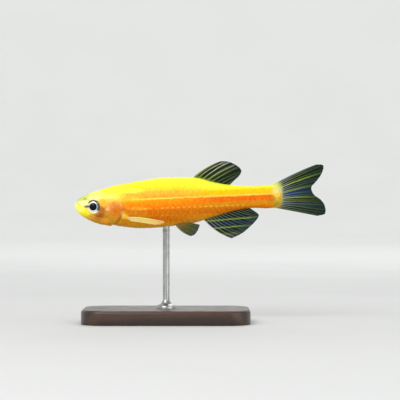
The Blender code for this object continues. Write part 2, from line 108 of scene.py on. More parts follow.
# The eye's profile from the middle of the lens over the iris and the soft rim to the back: radius and height
EYE_PROFILE = (
    (0.0, 0.705), (0.19, 0.695), (0.36, 0.665), (0.51, 0.620), (0.62, 0.565), (0.68, 0.515), (0.71, 0.490),
    (0.73, 0.500), (0.78, 0.495), (0.86, 0.465), (0.95, 0.425), (1.03, 0.370), (1.08, 0.330), (1.11, 0.322),
    (1.16, 0.335), (1.23, 0.300), (1.30, 0.215), (1.36, 0.090), (1.36, -0.05), (1.10, -0.25), (0.60, -0.50),
    (0.0, -0.62),
)
EYE_STEPS = 72
# The width of the eye's own map in eye radii
IRIS_MAP_WIDTH = 2.6

# Side-view place and radius of the front and rear opening of a nostril
NOSTRILS = ((1.80, 0.08, 0.115), (2.10, 0.27, 0.135))
NOSTRIL_DEPTH = 0.26
NOSTRIL_RIM = 0.075
# Turns round the eye of the brow's pores, in degrees
BROW_PORES = (155.0, 130.0, 105.0, 80.0, 55.0)
BROW_PORE_DISTANCE = 1.62

# Start and end in the side view, how far the middle sags, how far the tip stands off, root radius
BARBELS = (
    ((1.95, -1.92), (4.95, -3.15), 0.36, 0.24, 0.080),
    ((0.80, -0.36), (1.66, -0.66), 0.06, 0.26, 0.065),
)

# Scales at full size: steps along and around the body, the plate, how it lies and how much it varies
SCALE_STEP_ALONG = 0.97
SCALE_STEP_AROUND = 0.90
SCALE_HALF_LENGTH = 0.78
SCALE_HALF_WIDTH = 0.84
SCALE_HALF_THICKNESS = 0.010
SCALE_TILT = 0.032
SCALE_ARCH = 0.022
SCALE_EDGE = 0.95
SCALE_LIFT = 0.004
SCALE_SINK = 0.34
SCALE_SINK_REACH = (0.05, 0.60)
SCALE_SCATTER = 0.018
SCALE_SIZE_SPREAD = 0.025
SCALE_TILT_SPREAD = 0.08
SCALE_GILL_GAP = 0.42
SCALE_FIN_GAP = 0.75
BAKE_PATCH_HALF_WIDTH = 0.0015
SCALE_SIZES = ((6.0, 0.72), (9.0, 0.88), (14.0, 1.0), (24.0, 1.0), (31.0, 0.80), (37.0, 0.62))
SCALES_START = 6.2
SCALES_END = 36.4
SCALE_ROWS = 8
SCALE_SEED = 41
SHEET_HALF_SPAN = 8.0
SHEET_COLUMNS = 321
# The colour bands and the rows of scales climb this much for each millimetre towards the tail
BAND_SLOPE = 0.0437
FIN_BAND_SLOPE = 0.085
FLANK_LINE = -0.42

Fin = namedtuple("Fin", "rays root margin arch sway")
DORSAL_FIN = Fin(
    9, ((21.00, 0, 3.70), (24.10, 0, 2.95), (27.20, 0, 2.05)),
    (
        (26.20, 0, 6.96), (27.55, 0, 6.88), (28.95, 0, 6.30),
        (29.90, 0, 5.36), (29.55, 0, 4.40), (28.50, 0, 3.40),
    ),
    (-0.20, 0, 0.34), 0.22,
)
ANAL_FIN = Fin(
    15, ((23.10, 0, -3.30), (26.30, 0, -2.05), (30.60, 0, -0.95)),
    (
        (28.20, 0, -6.86), (30.00, 0, -6.00), (31.35, 0, -4.90),
        (32.50, 0, -3.75), (33.05, 0, -2.70), (32.20, 0, -1.95),
    ),
    (-0.22, 0, -0.40), -0.22,
)
CAUDAL_FIN = Fin(
    19, ((35.70, 0, 2.80), (36.35, 0, 1.80), (36.60, 0, 0.70), (36.35, 0, -0.40), (35.75, 0, -1.30)),
    (
        (43.42, 0, 6.38), (44.60, 0, 6.20), (44.38, 0, 4.86), (43.50, 0, 3.50), (42.50, 0, 2.30),
        (42.92, 0, 1.02), (44.10, 0, 0.10), (44.85, 0, -0.95), (44.93, 0, -2.40), (43.60, 0, -2.84),
    ),
    (0, 0, 0.18), 0.26,
)
PELVIC_FIN = Fin(
    8, ((18.00, 0.75, -4.20), (18.80, 0.80, -4.08), (19.70, 0.85, -3.86)),
    ((20.80, 1.55, -6.42), (21.50, 1.65, -6.20), (22.10, 1.60, -5.42), (22.45, 1.40, -4.46)),
    (-0.25, 0, -0.25), 0.06,
)
PECTORAL_FIN = Fin(
    11, ((9.25, 2.24, -3.08), (9.55, 2.00, -3.38), (9.85, 1.78, -3.68)),
    (
        (15.60, 4.90, -3.66), (16.20, 4.50, -3.92), (15.95, 4.00, -4.20),
        (15.10, 3.45, -4.32), (13.80, 2.95, -4.20),
    ),
    (0, 0.25, 0.20), 0.08,
)
MEMBRANE_THICKNESS = 0.06
MEMBRANE_ROWS = 30
MEMBRANE_COLUMNS_PER_RAY = 6
MEMBRANE_PLEAT = 0.05
MARGIN_SCALLOP = 0.004
RAY_START = -0.07
RAY_END = 0.985
RAY_ROOT_RADIUS = 0.075
RAY_TIP_RADIUS = 0.022
RAY_FORKS = (0.42, 0.72)
RAY_SPREADS = (0.19, 0.09)
RAY_JOINTS = 26
TUBE_RINGS = 9
TUBE_SIDES = 8

STAND_X = 16.44
BASE_LENGTH = 30.0
BASE_WIDTH = 16.0
BASE_THICKNESS = 2.6
BASE_CORNER = 4.0
BASE_CORNER_STEPS = 14
BASE_RIM = 0.5
BASE_RIM_STEPS = 5
BASE_UNDER_RIM = 0.12
# The rod's profile over the base: radius and height, before it runs up into the belly
ROD_FOOT = (
    (1.70, 0.0), (1.70, 0.42), (1.62, 0.54), (1.48, 0.60), (1.20, 0.68), (0.98, 0.82), (0.84, 1.02),
    (0.72, 1.26), (0.64, 1.42), (0.60, 1.56),
)
ROD_COLLAR_DROP = 0.75
ROD_STEPS = 64

# The photo is 400 pixels wide, and a pixel is this size in the fish's middle plane
PHOTO_PIXEL = 0.1793
PHOTO_WIDTH = 400 * PHOTO_PIXEL
CAMERA_LENS = 150.0
CAMERA_SENSOR = 36.0

# The pale floor and its low wall; the far part glows a little, more and more between two distances
BACKDROP_REACH = 1300.0
BACKDROP_RISE = 800.0
BACKDROP_BEND = 400.0
BACKDROP_BEND_STEPS = 16
BACKDROP_STEPS = 96
BACKDROP_GLOW = 0.42
GLOW_START = 90.0
GLOW_END = 560.0
ROOM_LIGHT = 0.57

# Colours as red, green and blue from 0 to 255
PALETTE = {
    "lemon": (240, 241, 66),
    "pale lemon": (248, 250, 132),
    "yellow": (246, 232, 44),
    "gold": (253, 214, 48),
    "deep gold": (249, 196, 0),
    "amber": (252, 184, 54),
    "apricot": (250, 172, 52),
    "orange": (247, 156, 0),
    "deep orange": (234, 126, 0),
    "tail orange": (229, 112, 0),
    "rust": (208, 116, 0),
    "tail rust": (216, 142, 10),
    "brown ochre": (218, 156, 28),
    "pale ochre": (214, 168, 70),
    "stripe": (255, 226, 92),
    "rear stripe": (255, 206, 104),
    "dash": (255, 196, 72),
    "snout green": (198, 214, 114),
    "cream yellow": (250, 238, 106),
    "cream white": (238, 246, 198),
    "pale gold": (244, 202, 76),
    "peach": (228, 170, 80),
    "pale peach": (250, 204, 140),
    "rose": (222, 136, 58),
    "burnt orange": (208, 116, 12),
    "golden brown": (206, 146, 36),
    "umber": (158, 106, 24),
    # gape: painted shade for the mouth's crease and the nostrils' pits
    "gape": (120, 62, 30),
    "red brown": (164, 84, 34),
    "tail olive": (180, 142, 36),
    "tail lemon": (214, 222, 102),
    "tail cream": (230, 220, 146),
    "tail gold": (206, 180, 56),
    "fin teal": (6, 31, 28),
    "fin navy": (20, 34, 62),
    "fin blue": (34, 62, 112),
    "fin slate": (44, 58, 58),
    "fin grey": (104, 116, 112),
    "fin forest": (16, 34, 10),
    "fin lime": (122, 142, 44),
    "fin olive": (78, 86, 26),
    "fin moss": (118, 140, 38),
    "ray olive": (150, 166, 78),
    "ray grey": (150, 160, 150),
    "ray pale": (206, 210, 190),
    "fin cream": (255, 226, 130),
    "ray cream": (255, 242, 182),
    "fin umber": (98, 64, 6),
    "fin bark": (60, 62, 14),
    "fin sage": (126, 138, 92),
    "iris silver": (236, 240, 232),
    "iris dusk": (30, 44, 54),
    "iris olive": (120, 126, 70),
    "lens black": (6, 6, 9),
    "walnut": (66, 40, 26),
    "dark walnut": (40, 24, 16),
    "steel": (176, 177, 175),
    "dull steel": (138, 139, 138),
    "backdrop": (216, 217, 216),
}

# Height over the tilted flank line and colour there, from the belly up
FLANK_BANDS = (
    (-5.9, "pale ochre"), (-5.1, "brown ochre"), (-4.4, "rust"), (-2.7, "rust"), (-2.1, "deep orange"),
    (-0.8, "orange"), (-0.2, "apricot"), (0.7, "amber"), (1.3, "gold"), (1.9, "yellow"), (2.7, "lemon"),
    (4.4, "lemon"),
)
TAIL_BANDS = (
    (-4.8, "pale ochre"), (-4.0, "brown ochre"), (-3.2, "rust"), (-2.7, "rust"), (-2.1, "tail rust"),
    (-1.7, "tail rust"), (-1.3, "tail orange"), (-0.75, "tail orange"), (-0.3, "deep gold"),
    (0.4, "deep gold"), (0.9, "yellow"), (1.4, "lemon"), (4.4, "lemon"),
)
HEAD_BANDS = (
    (-5.0, "pale ochre"), (-4.2, "golden brown"), (-2.8, "golden brown"), (-1.9, "rose"),
    (-0.9, "peach"), (-0.1, "pale gold"), (0.6, "cream yellow"), (1.4, "lemon"), (3.0, "lemon"),
)
SNOUT_BANDS = (
    (-4.2, "pale ochre"), (-3.2, "pale gold"), (-2.3, "yellow"), (-1.4, "yellow"), (-0.6, "cream yellow"),
    (0.1, "snout green"), (2.0, "snout green"),
)
TAIL_ROOT_BANDS = (
    (-3.2, "tail olive"), (-2.4, "tail olive"), (-1.5, "tail gold"), (-0.6, "pale gold"), (0.1, "tail cream"),
    (1.0, "tail lemon"), (2.4, "tail lemon"),
)
# Where one set of bands gives way to the next, behind the snout
HEAD_TO_SNOUT = (4.4, 1.2)
HEAD_TO_TRUNK = (7.6, 9.8)
TRUNK_TO_TAIL = (17.0, 27.0)
TRUNK_TO_TAIL_ROOT = (34.9, 36.2)

# The pale stripe along the flank, where it starts and where it turns paler
STRIPE_HALF_WIDTH = 0.19
STRIPE_START = (8.5, 12.0)
STRIPE_TO_REAR = (13.0, 24.0)
# Lines of pale dashes: height over the tilted flank line at the start, slope, start, end and strength
DASH_LINES = ((-2.10, -0.004, 11.0, 31.5, 0.85), (-3.45, 0.0, 11.0, 20.0, 0.45))
DASH_HALF_WIDTH = 0.15

# Soft marks, most of them on the head: place in the side view, half length, half height, colour, strength
SKIN_MARKS = (
    (-0.05, -0.70, 0.45, 0.60, "cream white", 0.6),
    (1.90, -0.55, 1.10, 0.65, "cream white", 0.6),
    (3.60, 0.35, 1.40, 0.50, "cream white", 0.50),
    (4.00, 1.25, 1.60, 0.60, "pale lemon", 0.7),
    (2.20, -2.20, 1.00, 0.70, "yellow", 0.8),
    (0.80, -1.45, 1.35, 0.95, "pale lemon", 0.85),
    (2.22, -1.17, 0.50, 0.28, "iris dusk", 0.75),
    (5.10, -0.60, 0.90, 0.90, "amber", 0.75),
    (4.95, -1.90, 0.75, 1.00, "umber", 0.75),
    (4.70, -2.87, 1.05, 0.45, "red brown", 0.8),
    (5.50, -3.70, 0.95, 0.55, "apricot", 0.7),
    # painted highlight: a pale spot on the gill cover
    (6.05, -1.62, 0.42, 0.36, "pale peach", 0.6),
    (7.40, -0.80, 1.05, 0.80, "rose", 0.70),
    (7.90, -2.05, 1.25, 1.20, "burnt orange", 0.85),
    (7.10, -4.05, 1.00, 0.50, "golden brown", 0.7),
    # painted highlight: a pale spot at the gill opening
    (8.72, -2.60, 0.42, 0.80, "pale peach", 0.95),
    (10.60, -2.70, 3.20, 1.50, "golden brown", 0.52),
    (10.20, 0.20, 3.40, 0.60, "gold", 0.40),
    (10.20, 1.70, 2.70, 0.65, "lemon", 0.75),
    (9.15, -2.95, 0.75, 0.60, "gold", 0.50),
    (11.60, -1.50, 2.20, 0.34, "amber", 0.50),
    (8.40, 0.70, 1.20, 0.55, "gold", 0.60),
    (11.40, -4.20, 3.60, 0.90, "brown ochre", 0.60),
    (35.20, 0.25, 0.95, 0.85, "burnt orange", 0.70),
)

# A fin's bands across the rays, as shares of the fin, or level bands, as heights over a line that climbs to
# the tail; its tip and root; where a painted glint makes its rays pale; the web's cover at root and tip;
# the rays and the web's painted glow
FinLook = namedtuple(
    "FinLook", "fin across level tip tip_start root root_end glint cover pale strength glow rear_rays",
    defaults=(1.0,),
)
SMALL_GLINT = (0.30, 0.02, 0.0, 0.1)
FIN_LOOKS = {
    "caudal": FinLook(
        CAUDAL_FIN,
        (
            (0.0, "fin grey"), (0.05, "fin slate"), (0.10, "fin forest"), (0.19, "fin forest"),
            (0.22, "fin lime"), (0.25, "fin teal"), (0.31, "fin navy"), (0.385, "fin slate"),
            (0.415, "fin lime"), (0.445, "fin navy"), (0.50, "fin blue"), (0.565, "fin navy"),
            (0.60, "fin lime"), (0.635, "fin teal"), (0.67, "fin forest"), (0.70, "fin olive"),
            (0.73, "fin navy"), (0.80, "fin slate"), (0.88, "fin teal"), (1.0, "fin slate"),
        ),
        (), "fin teal", 0.35, TAIL_ROOT_BANDS, 0.17, (1.0, 0.80, 0.42, 0.18),
        (0.99, 0.965), "ray olive", 0.42, 0.02,
    ),
    "anal": FinLook(
        ANAL_FIN, (),
        (
            (-10.0, "fin slate"), (-8.75, "fin forest"), (-8.40, "fin olive"), (-8.05, "fin forest"),
            (-7.4, "fin teal"), (-7.2, "fin moss"), (-7.0, "fin teal"), (-6.6, "fin navy"),
            (-6.02, "fin teal"), (-5.82, "fin moss"), (-5.62, "fin teal"), (-4.9, "fin forest"),
            (-4.2, "fin forest"), (-3.4, "fin olive"),
        ),
        "fin slate", 0.68, "fin olive", 0.20, SMALL_GLINT, (0.99, 0.97), "ray grey", 0.42, 0.01,
    ),
    "dorsal": FinLook(
        DORSAL_FIN,
        (
            (0.0, "fin sage"), (0.05, "fin olive"), (0.10, "fin forest"), (0.31, "fin forest"),
            (0.38, "fin olive"), (0.45, "fin forest"), (0.85, "fin forest"), (1.0, "fin olive"),
        ),
        (), "fin teal", 0.70, "fin lime", 0.20, (0.70, 0.20, 0.15, 0.50),
        (0.99, 0.965), "ray olive", 0.90, 0.02, 0.30,
    ),
    "pelvic": FinLook(
        PELVIC_FIN, ((0.0, "fin grey"), (0.10, "fin bark"), (1.0, "fin bark")),
        (), "fin slate", 0.50, "fin umber", 0.60, SMALL_GLINT, (0.99, 0.95), "ray olive", 0.36, 0.02,
    ),
    "pectoral": FinLook(
        PECTORAL_FIN, ((0.0, "cream yellow"), (0.5, "fin cream"), (1.0, "fin cream")),
        (), "pale peach", 0.72, "pale gold", 0.20, SMALL_GLINT, (0.93, 0.74), "ray cream", 0.5, 0.16,
    ),
}


def place(x, y, z):
    """The scene's point for a point of the fish."""
    return Vector((x - TOTAL_LENGTH / 2, y, z + SWIM_HEIGHT)) * METRES


def placed(points):
    """The scene's points for an array of points of the fish."""
    return (np.asarray(points) + (-TOTAL_LENGTH / 2, 0, SWIM_HEIGHT)) * METRES


def smooth_line(knots, values, at):
    """A smooth curve through values at knots, read at places; each value may be a row of numbers."""
    knots, values = np.asarray(knots, float), np.asarray(values, float)
    slopes = np.gradient(values, knots, axis=0)
    at = np.clip(at, knots[0], knots[-1])
    left = np.clip(np.searchsorted(knots, at) - 1, 0, len(knots) - 2)
    step = knots[left + 1] - knots[left]
    t = (at - knots[left]) / step
    if values.ndim > 1:
        step, t = np.asarray(step)[..., None], np.asarray(t)[..., None]
    return (
        (2 * t**3 - 3 * t**2 + 1) * values[left]
        + (t**3 - 2 * t**2 + t) * step * slopes[left]
        + (3 * t**2 - 2 * t**3) * values[left + 1]
        + (t**3 - t**2) * step * slopes[left + 1]
    )


def along(points, share):
    """The point at a share of the way along a smooth line through points."""
    return smooth_line(np.linspace(0, 1, len(points)), points, share)


def smooth_step(start, end, value):
    share = np.clip((value - start) / (end - start), 0, 1)
    return share * share * (3 - 2 * share)


def ridge(distance, half_width):
    """1 on a line, falling smoothly to 0 at the half width."""
    return np.clip(1 - (distance / half_width) ** 2, 0, None) ** 2


def body_section(x):
    """Back, belly, half width and the two squarenesses of the body, smooth in the root of the distance."""
    roots = np.sqrt([station[0] for station in BODY_STATIONS])
    rows = smooth_line(roots, [station[1:] for station in BODY_STATIONS], np.sqrt(np.maximum(x, 0.0)))
    return np.moveaxis(rows, -1, 0)


def flank(x, z):
    """The body's half width at a place of the side view."""
    back, belly, half_width, back_power, belly_power = body_section(x)
    middle, half_depth = (back + belly) / 2, (back - belly) / 2
    power = np.where(z > middle, back_power, belly_power)
    share = np.minimum(np.abs(z - middle) / half_depth, 1.0)
    return half_width * (1 - share**power) ** (1 / power)


def body_point(x, turn):
    """Points of the bare body at distances behind the snout and turns about its length."""
    back, belly, half_width, back_power, belly_power = body_section(x)
    middle, half_depth = (back + belly) / 2, (back - belly) / 2
    power = 2 / np.where(np.sin(turn) > 0, back_power, belly_power)
    side = np.sign(np.cos(turn)) * np.abs(np.cos(turn)) ** power
    rise = np.sign(np.sin(turn)) * np.abs(np.sin(turn)) ** power
    ending = np.clip((x - TAIL_TAPER_START) / (BODY_LENGTH - TAIL_TAPER_START), 0, 1)
    half_width = half_width * np.sqrt(1 - 0.9 * ending**2)
    bow = TAIL_BOW * smooth_step(TAIL_BOW_START, BODY_LENGTH, x) * rise**2
    return np.stack([x - bow, half_width * side, middle + half_depth * rise], axis=-1)


def line_distance(x, z, start, end):
    """Distance in the side view from a short straight line."""
    way = np.subtract(end, start)
    share = ((x - start[0]) * way[0] + (z - start[1]) * way[1]) / (way @ way)
    share = np.clip(share, 0, 1)
    return np.hypot(x - start[0] - share * way[0], z - start[1] - share * way[1])


def mouth_place(x, z):
    """How far along the mouth line a place lies, as a share, and how far above the line."""
    way = np.subtract(MOUTH_CORNER, MOUTH_FRONT)
    length = np.hypot(*way)
    way = way / length
    off_x, off_z = x - MOUTH_FRONT[0], z - MOUTH_FRONT[1]
    return (off_x * way[0] + off_z * way[1]) / length, off_z * way[0] - off_x * way[1]


def behind_gill(x, z):
    """How far behind the gill opening a place lies in the side view."""
    distance = np.hypot(x - GILL_ARC_CENTRE[0], z - GILL_ARC_CENTRE[1]) - GILL_ARC_RADIUS
    return np.where(x < GILL_ARC_CENTRE[0], -GILL_ARC_RADIUS, distance)


def mouth_relief(x, z):
    """The gape between two rounded lips, deepest at the front."""
    share, above = mouth_place(x, z)
    reach = 1 - smooth_step(0.93, 1.05, share)
    depth = np.interp(share, (0.3, 0.7), (MOUTH_DEPTH_FRONT, MOUTH_DEPTH_CORNER))
    half_width = np.interp(share, (0.4, 0.7), (MOUTH_HALF_WIDTH_FRONT, MOUTH_HALF_WIDTH_CORNER))
    gape = -depth * ridge(above, half_width)
    lips = LIP_RISE * (ridge(above - LIP_OFFSET, LIP_HALF_WIDTH) + ridge(above + LIP_OFFSET, LIP_HALF_WIDTH))
    jaw_fold = -0.05 * ridge(above - 0.60, 0.13) * smooth_step(0.35, 0.60, share)
    return (gape + lips + jaw_fold) * reach


def gill_relief(x, z):
    """The gill cover's raised rim and the groove behind it, the cheek's border, seams and throat rays."""
    behind = behind_gill(x, z)
    turn = np.degrees(np.abs(np.arctan2(z - GILL_ARC_CENTRE[1], x - GILL_ARC_CENTRE[0])))
    below = z < GILL_ARC_CENTRE[1]
    opening = 1 - np.where(below, smooth_step(64.0, 80.0, turn), smooth_step(26.0, 48.0, turn))
    past = smooth_step(-0.04, 0.09, behind)
    rim = GILL_RIM_RISE * smooth_step(-1.0, -0.1, behind) * (1 - past)
    groove = -GILL_GROOVE * past * (1 - smooth_step(0.15, 0.70, behind))
    relief = (rim + groove) * opening

    cheek = np.hypot(x - CHEEK_CENTRE[0], z - CHEEK_CENTRE[1])
    cheek_turn = np.degrees(np.arctan2(z - CHEEK_CENTRE[1], x - CHEEK_CENTRE[0]))
    lower = (1 - smooth_step(5.0, 35.0, cheek_turn)) * smooth_step(-150.0, -120.0, cheek_turn)
    border = 0.035 * ridge(cheek - CHEEK_RADIUS + 0.16, 0.20) - 0.06 * ridge(cheek - CHEEK_RADIUS, 0.10)
    relief += lower * border
    for start, end in COVER_SEAMS:
        relief -= 0.035 * ridge(line_distance(x, z, start, end), 0.10)
    under = smooth_step(-130.0, -105.0, cheek_turn) * (1 - smooth_step(-75.0, -50.0, cheek_turn))
    for radius in THROAT_RAY_RADII:
        relief -= under * 0.035 * ridge(cheek - radius, 0.08)
    return relief


def eye_relief(x, z):
    """The socket with its thin rim, a faint furrow under the eye, and the brow's pores."""
    distance = np.hypot(x - EYE_CENTRE[0], z - EYE_CENTRE[2])
    socket = -SOCKET_DEPTH * (1 - smooth_step(*SOCKET_WALL, distance))
    rim = 0.04 * ridge(distance - 1.44, 0.22)
    turn = np.degrees(np.arctan2(z - EYE_CENTRE[2], x - EYE_CENTRE[0]))
    lower = (1 - smooth_step(0.0, 30.0, turn)) * smooth_step(-175.0, -150.0, turn)
    relief = socket + rim - 0.03 * lower * ridge(distance - 1.82, 0.12)
    for pore in np.radians(BROW_PORES):
        pore_x = EYE_CENTRE[0] + BROW_PORE_DISTANCE * math.cos(pore)
        pore_z = EYE_CENTRE[2] + BROW_PORE_DISTANCE * math.sin(pore)
        relief -= 0.05 * ridge(np.hypot(x - pore_x, z - pore_z), 0.11)
    return relief


def nostril_relief(x, z):
    """Two openings on each side, with a raised rim that makes a flap between them."""
    relief = np.zeros_like(x)
    for nostril_x, nostril_z, radius in NOSTRILS:
        distance = np.hypot(x - nostril_x, z - nostril_z)
        relief += NOSTRIL_RIM * ridge(distance - radius - 0.05, 0.10)
        relief -= NOSTRIL_DEPTH * ridge(distance, radius)
    return relief


def skin_relief(points):
    """How far the skin stands out from the bare body at its points."""
    x, z = points[..., 0], points[..., 2]
    coat = smooth_step(0.0, 0.5 + 1.1 * smooth_step(-0.5, 1.0, z), behind_gill(x, z))
    tilted = z - BAND_SLOPE * x
    furrow = -0.03 * ridge(tilted - FLANK_LINE, 0.45) * smooth_step(10.0, 13.0, x)
    fin_root = line_distance(x, z, *PECTORAL_SEAT)
    lobe = 0.12 * ridge(fin_root, 0.60) * (np.abs(points[..., 1]) > 1.0)
    head = mouth_relief(x, z) + eye_relief(x, z) + nostril_relief(x, z)
    return head + gill_relief(x, z) + lobe + coat * (furrow - COAT_DEPTH)


def outward_normals(points):
    """Unit normals of a closed grid of rings; its second axis runs round the body from the right side up."""
    around = np.roll(points, -1, axis=1) - np.roll(points, 1, axis=1)
    normals = np.cross(around, np.gradient(points, axis=0))
    lengths = np.linalg.norm(normals, axis=-1, keepdims=True)
    return np.where(lengths > 1e-9, normals / np.maximum(lengths, 1e-9), (-1.0, 0.0, 0.0))


def skin_grid():
    """Distances behind the snout, and the skin's points there round the body."""
    rings = BODY_LENGTH * np.linspace(0, 1, SKIN_RINGS) ** SKIN_CROWDING
    turns = np.linspace(0, 2 * math.pi, SKIN_SIDES, endpoint=False)
    points = body_point(*np.meshgrid(rings, turns, indexing="ij"))
    return rings, points + outward_normals(points) * skin_relief(points)[..., None]


def add_piece(name, mesh, material, slot, *nodes):
    """A finished piece of the model, which rides on the one body and stands for the named nodes."""
    piece = bpy.data.objects.new(name, mesh)
    bpy.context.scene.collection.objects.link(piece)
    mesh.materials.append(material)
    mesh.shade_smooth()
    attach(piece, "root")
    if nodes:
        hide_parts(*nodes)
    return piece


def to_mesh(name, form):
    """The form as a mesh with its faces turned outwards."""
    bmesh.ops.recalc_face_normals(form, faces=form.faces)
    mesh = bpy.data.meshes.new(name)
    form.to_mesh(mesh)
    form.free()
    return mesh


def set_uv(mesh, name, places):
    """Writes a UV map from one place for each vertex."""
    layer = mesh.uv_layers.new(name=name)
    corners = np.empty(len(mesh.loops), np.int32)
    mesh.loops.foreach_get("vertex_index", corners)
    layer.uv.foreach_set("vector", np.asarray(places, np.float32)[corners].ravel())


def join_copies(name, template, points, uv_maps):
    """One mesh of many copies of a small closed form: points holds each copy's corners in millimetres, and
    each UV map has a place for each corner."""
    copies, corners = points.shape[:2]
    faces = [[vert.index for vert in face.verts] for face in template.faces]
    mesh = bpy.data.meshes.new(name)
    all_faces = [[corner + copy * corners for corner in face] for copy in range(copies) for face in faces]
    mesh.from_pydata(placed(points.reshape(-1, 3)), [], all_faces)
    form = bmesh.new()
    form.from_mesh(mesh)
    bmesh.ops.recalc_face_normals(form, faces=form.faces)
    form.to_mesh(mesh)
    form.free()
    for uv_name, places in uv_maps.items():
        set_uv(mesh, uv_name, places.reshape(-1, 2))
    return mesh


def make_skin(points, material):
    """One closed skin over head, trunk and tail, from a sphere whose poles are the snout and the tail end."""
    form = bmesh.new()
    bmesh.ops.create_uvsphere(form, u_segments=SKIN_SIDES, v_segments=SKIN_RINGS, radius=1.0)
    end = points[-1].mean(axis=0)
    for vert in form.verts:
        ring = round(math.acos(max(-1.0, min(1.0, vert.co.z))) / math.pi * SKIN_RINGS)
        side = round(math.atan2(vert.co.y, vert.co.x) / (2 * math.pi) * SKIN_SIDES) % SKIN_SIDES
        vert.co = place(*(end if ring == SKIN_RINGS else points[ring, side]))
    nodes = ("head", "lower_jaw", "gill_cover_left", "gill_cover_right", "torso", "tail")
    add_piece("skin", to_mesh("skin", form), material, "skin", *nodes)


def flat_sheet(points, rings):
    """The right side of the skin laid out flat: for each ring, points at even steps round the body from the
    flank line up and down, going on over the back and the belly, and the steps to back and belly."""
    quarter = SKIN_SIDES // 4
    steps = np.linspace(-SHEET_HALF_SPAN, SHEET_HALF_SPAN, SHEET_COLUMNS)
    order = np.arange(-2 * quarter, 2 * quarter + 1) % SKIN_SIDES
    sheet = np.empty((len(rings), SHEET_COLUMNS, 3))
    ends = np.empty((len(rings), 2))
    for row, (x, ring) in enumerate(zip(rings, points)):
        ring = ring[order]
        lengths = np.concatenate([[0], np.cumsum(np.linalg.norm(np.diff(ring, axis=0), axis=1))])
        right = slice(quarter, 3 * quarter + 1)
        line = np.interp(FLANK_LINE + BAND_SLOPE * x, ring[right, 2], lengths[right])
        ends[row] = lengths[quarter] - line, lengths[3 * quarter] - line
        for axis in range(3):
            sheet[row, :, axis] = np.interp(steps, lengths - line, ring[:, axis])
    return sheet, ends


def read_sheet(table, rings, x, around):
    """Values of a table laid out as the sheet is, at distances behind the snout and steps round the body."""
    row = np.clip(np.interp(x, rings, np.arange(len(rings))), 0, len(rings) - 1.001)
    column = (around + SHEET_HALF_SPAN) / (2 * SHEET_HALF_SPAN) * (SHEET_COLUMNS - 1)
    column = np.clip(column, 0, SHEET_COLUMNS - 1.001)
    row_low, column_low = row.astype(int), column.astype(int)
    across, over = (row - row_low)[..., None], (column - column_low)[..., None]
    near = table[row_low, column_low] * (1 - over) + table[row_low, column_low + 1] * over
    far = table[row_low + 1, column_low] * (1 - over) + table[row_low + 1, column_low + 1] * over
    return near * (1 - across) + far * across


def scale_size(x):
    return smooth_line([spot for spot, _ in SCALE_SIZES], [size for _, size in SCALE_SIZES], x)


def scale_places(ends, rings, midlines):
    """Where each scale sits: distance behind the snout, and row counted from the flank line. Rows are
    staggered, and the middle of the back and the middle of the belly have rows of their own."""
    columns, x = [], SCALES_START
    while x < SCALES_END:
        columns.append(x)
        x += SCALE_STEP_ALONG * float(scale_size(x)) / 2
    found = []
    for count, x in enumerate(columns):
        step = SCALE_STEP_AROUND * float(scale_size(x))
        belly = float(np.interp(x, rings, ends[:, 0]))
        back = float(np.interp(x, rings, ends[:, 1]))
        for row in range(-SCALE_ROWS, SCALE_ROWS + 1):
            if (row + count) % 2 == 0 and belly + 0.35 * step < row * step < back - 0.35 * step:
                found.append((x, row * step))
        if midlines and count % 2 == 0:
            if not DORSAL_FIN.root[0][0] - 0.6 < x < DORSAL_FIN.root[-1][0] + 0.2:
                found.append((x, back))
            if not ANAL_FIN.root[0][0] - 0.6 < x < ANAL_FIN.root[-1][0] + 0.2:
                found.append((x, belly))
    return np.array(found)


def make_scale_template():
    """A thin plate with a fine edge, flat in its own plane, from a flattened ball: 84 faces."""
    form = bmesh.new()
    bmesh.ops.create_uvsphere(form, u_segments=14, v_segments=6, radius=1.0)
    for vert in form.verts:
        reach = math.hypot(vert.co.x, vert.co.y)
        if reach > 0.01:
            spread = SCALE_EDGE if 0.8 < reach < 0.95 else reach
            vert.co.x, vert.co.y = vert.co.x * spread / reach, vert.co.y * spread / reach
        if abs(vert.co.z) > 0.1:
            vert.co.z = math.copysign(1.0, vert.co.z)
    return form


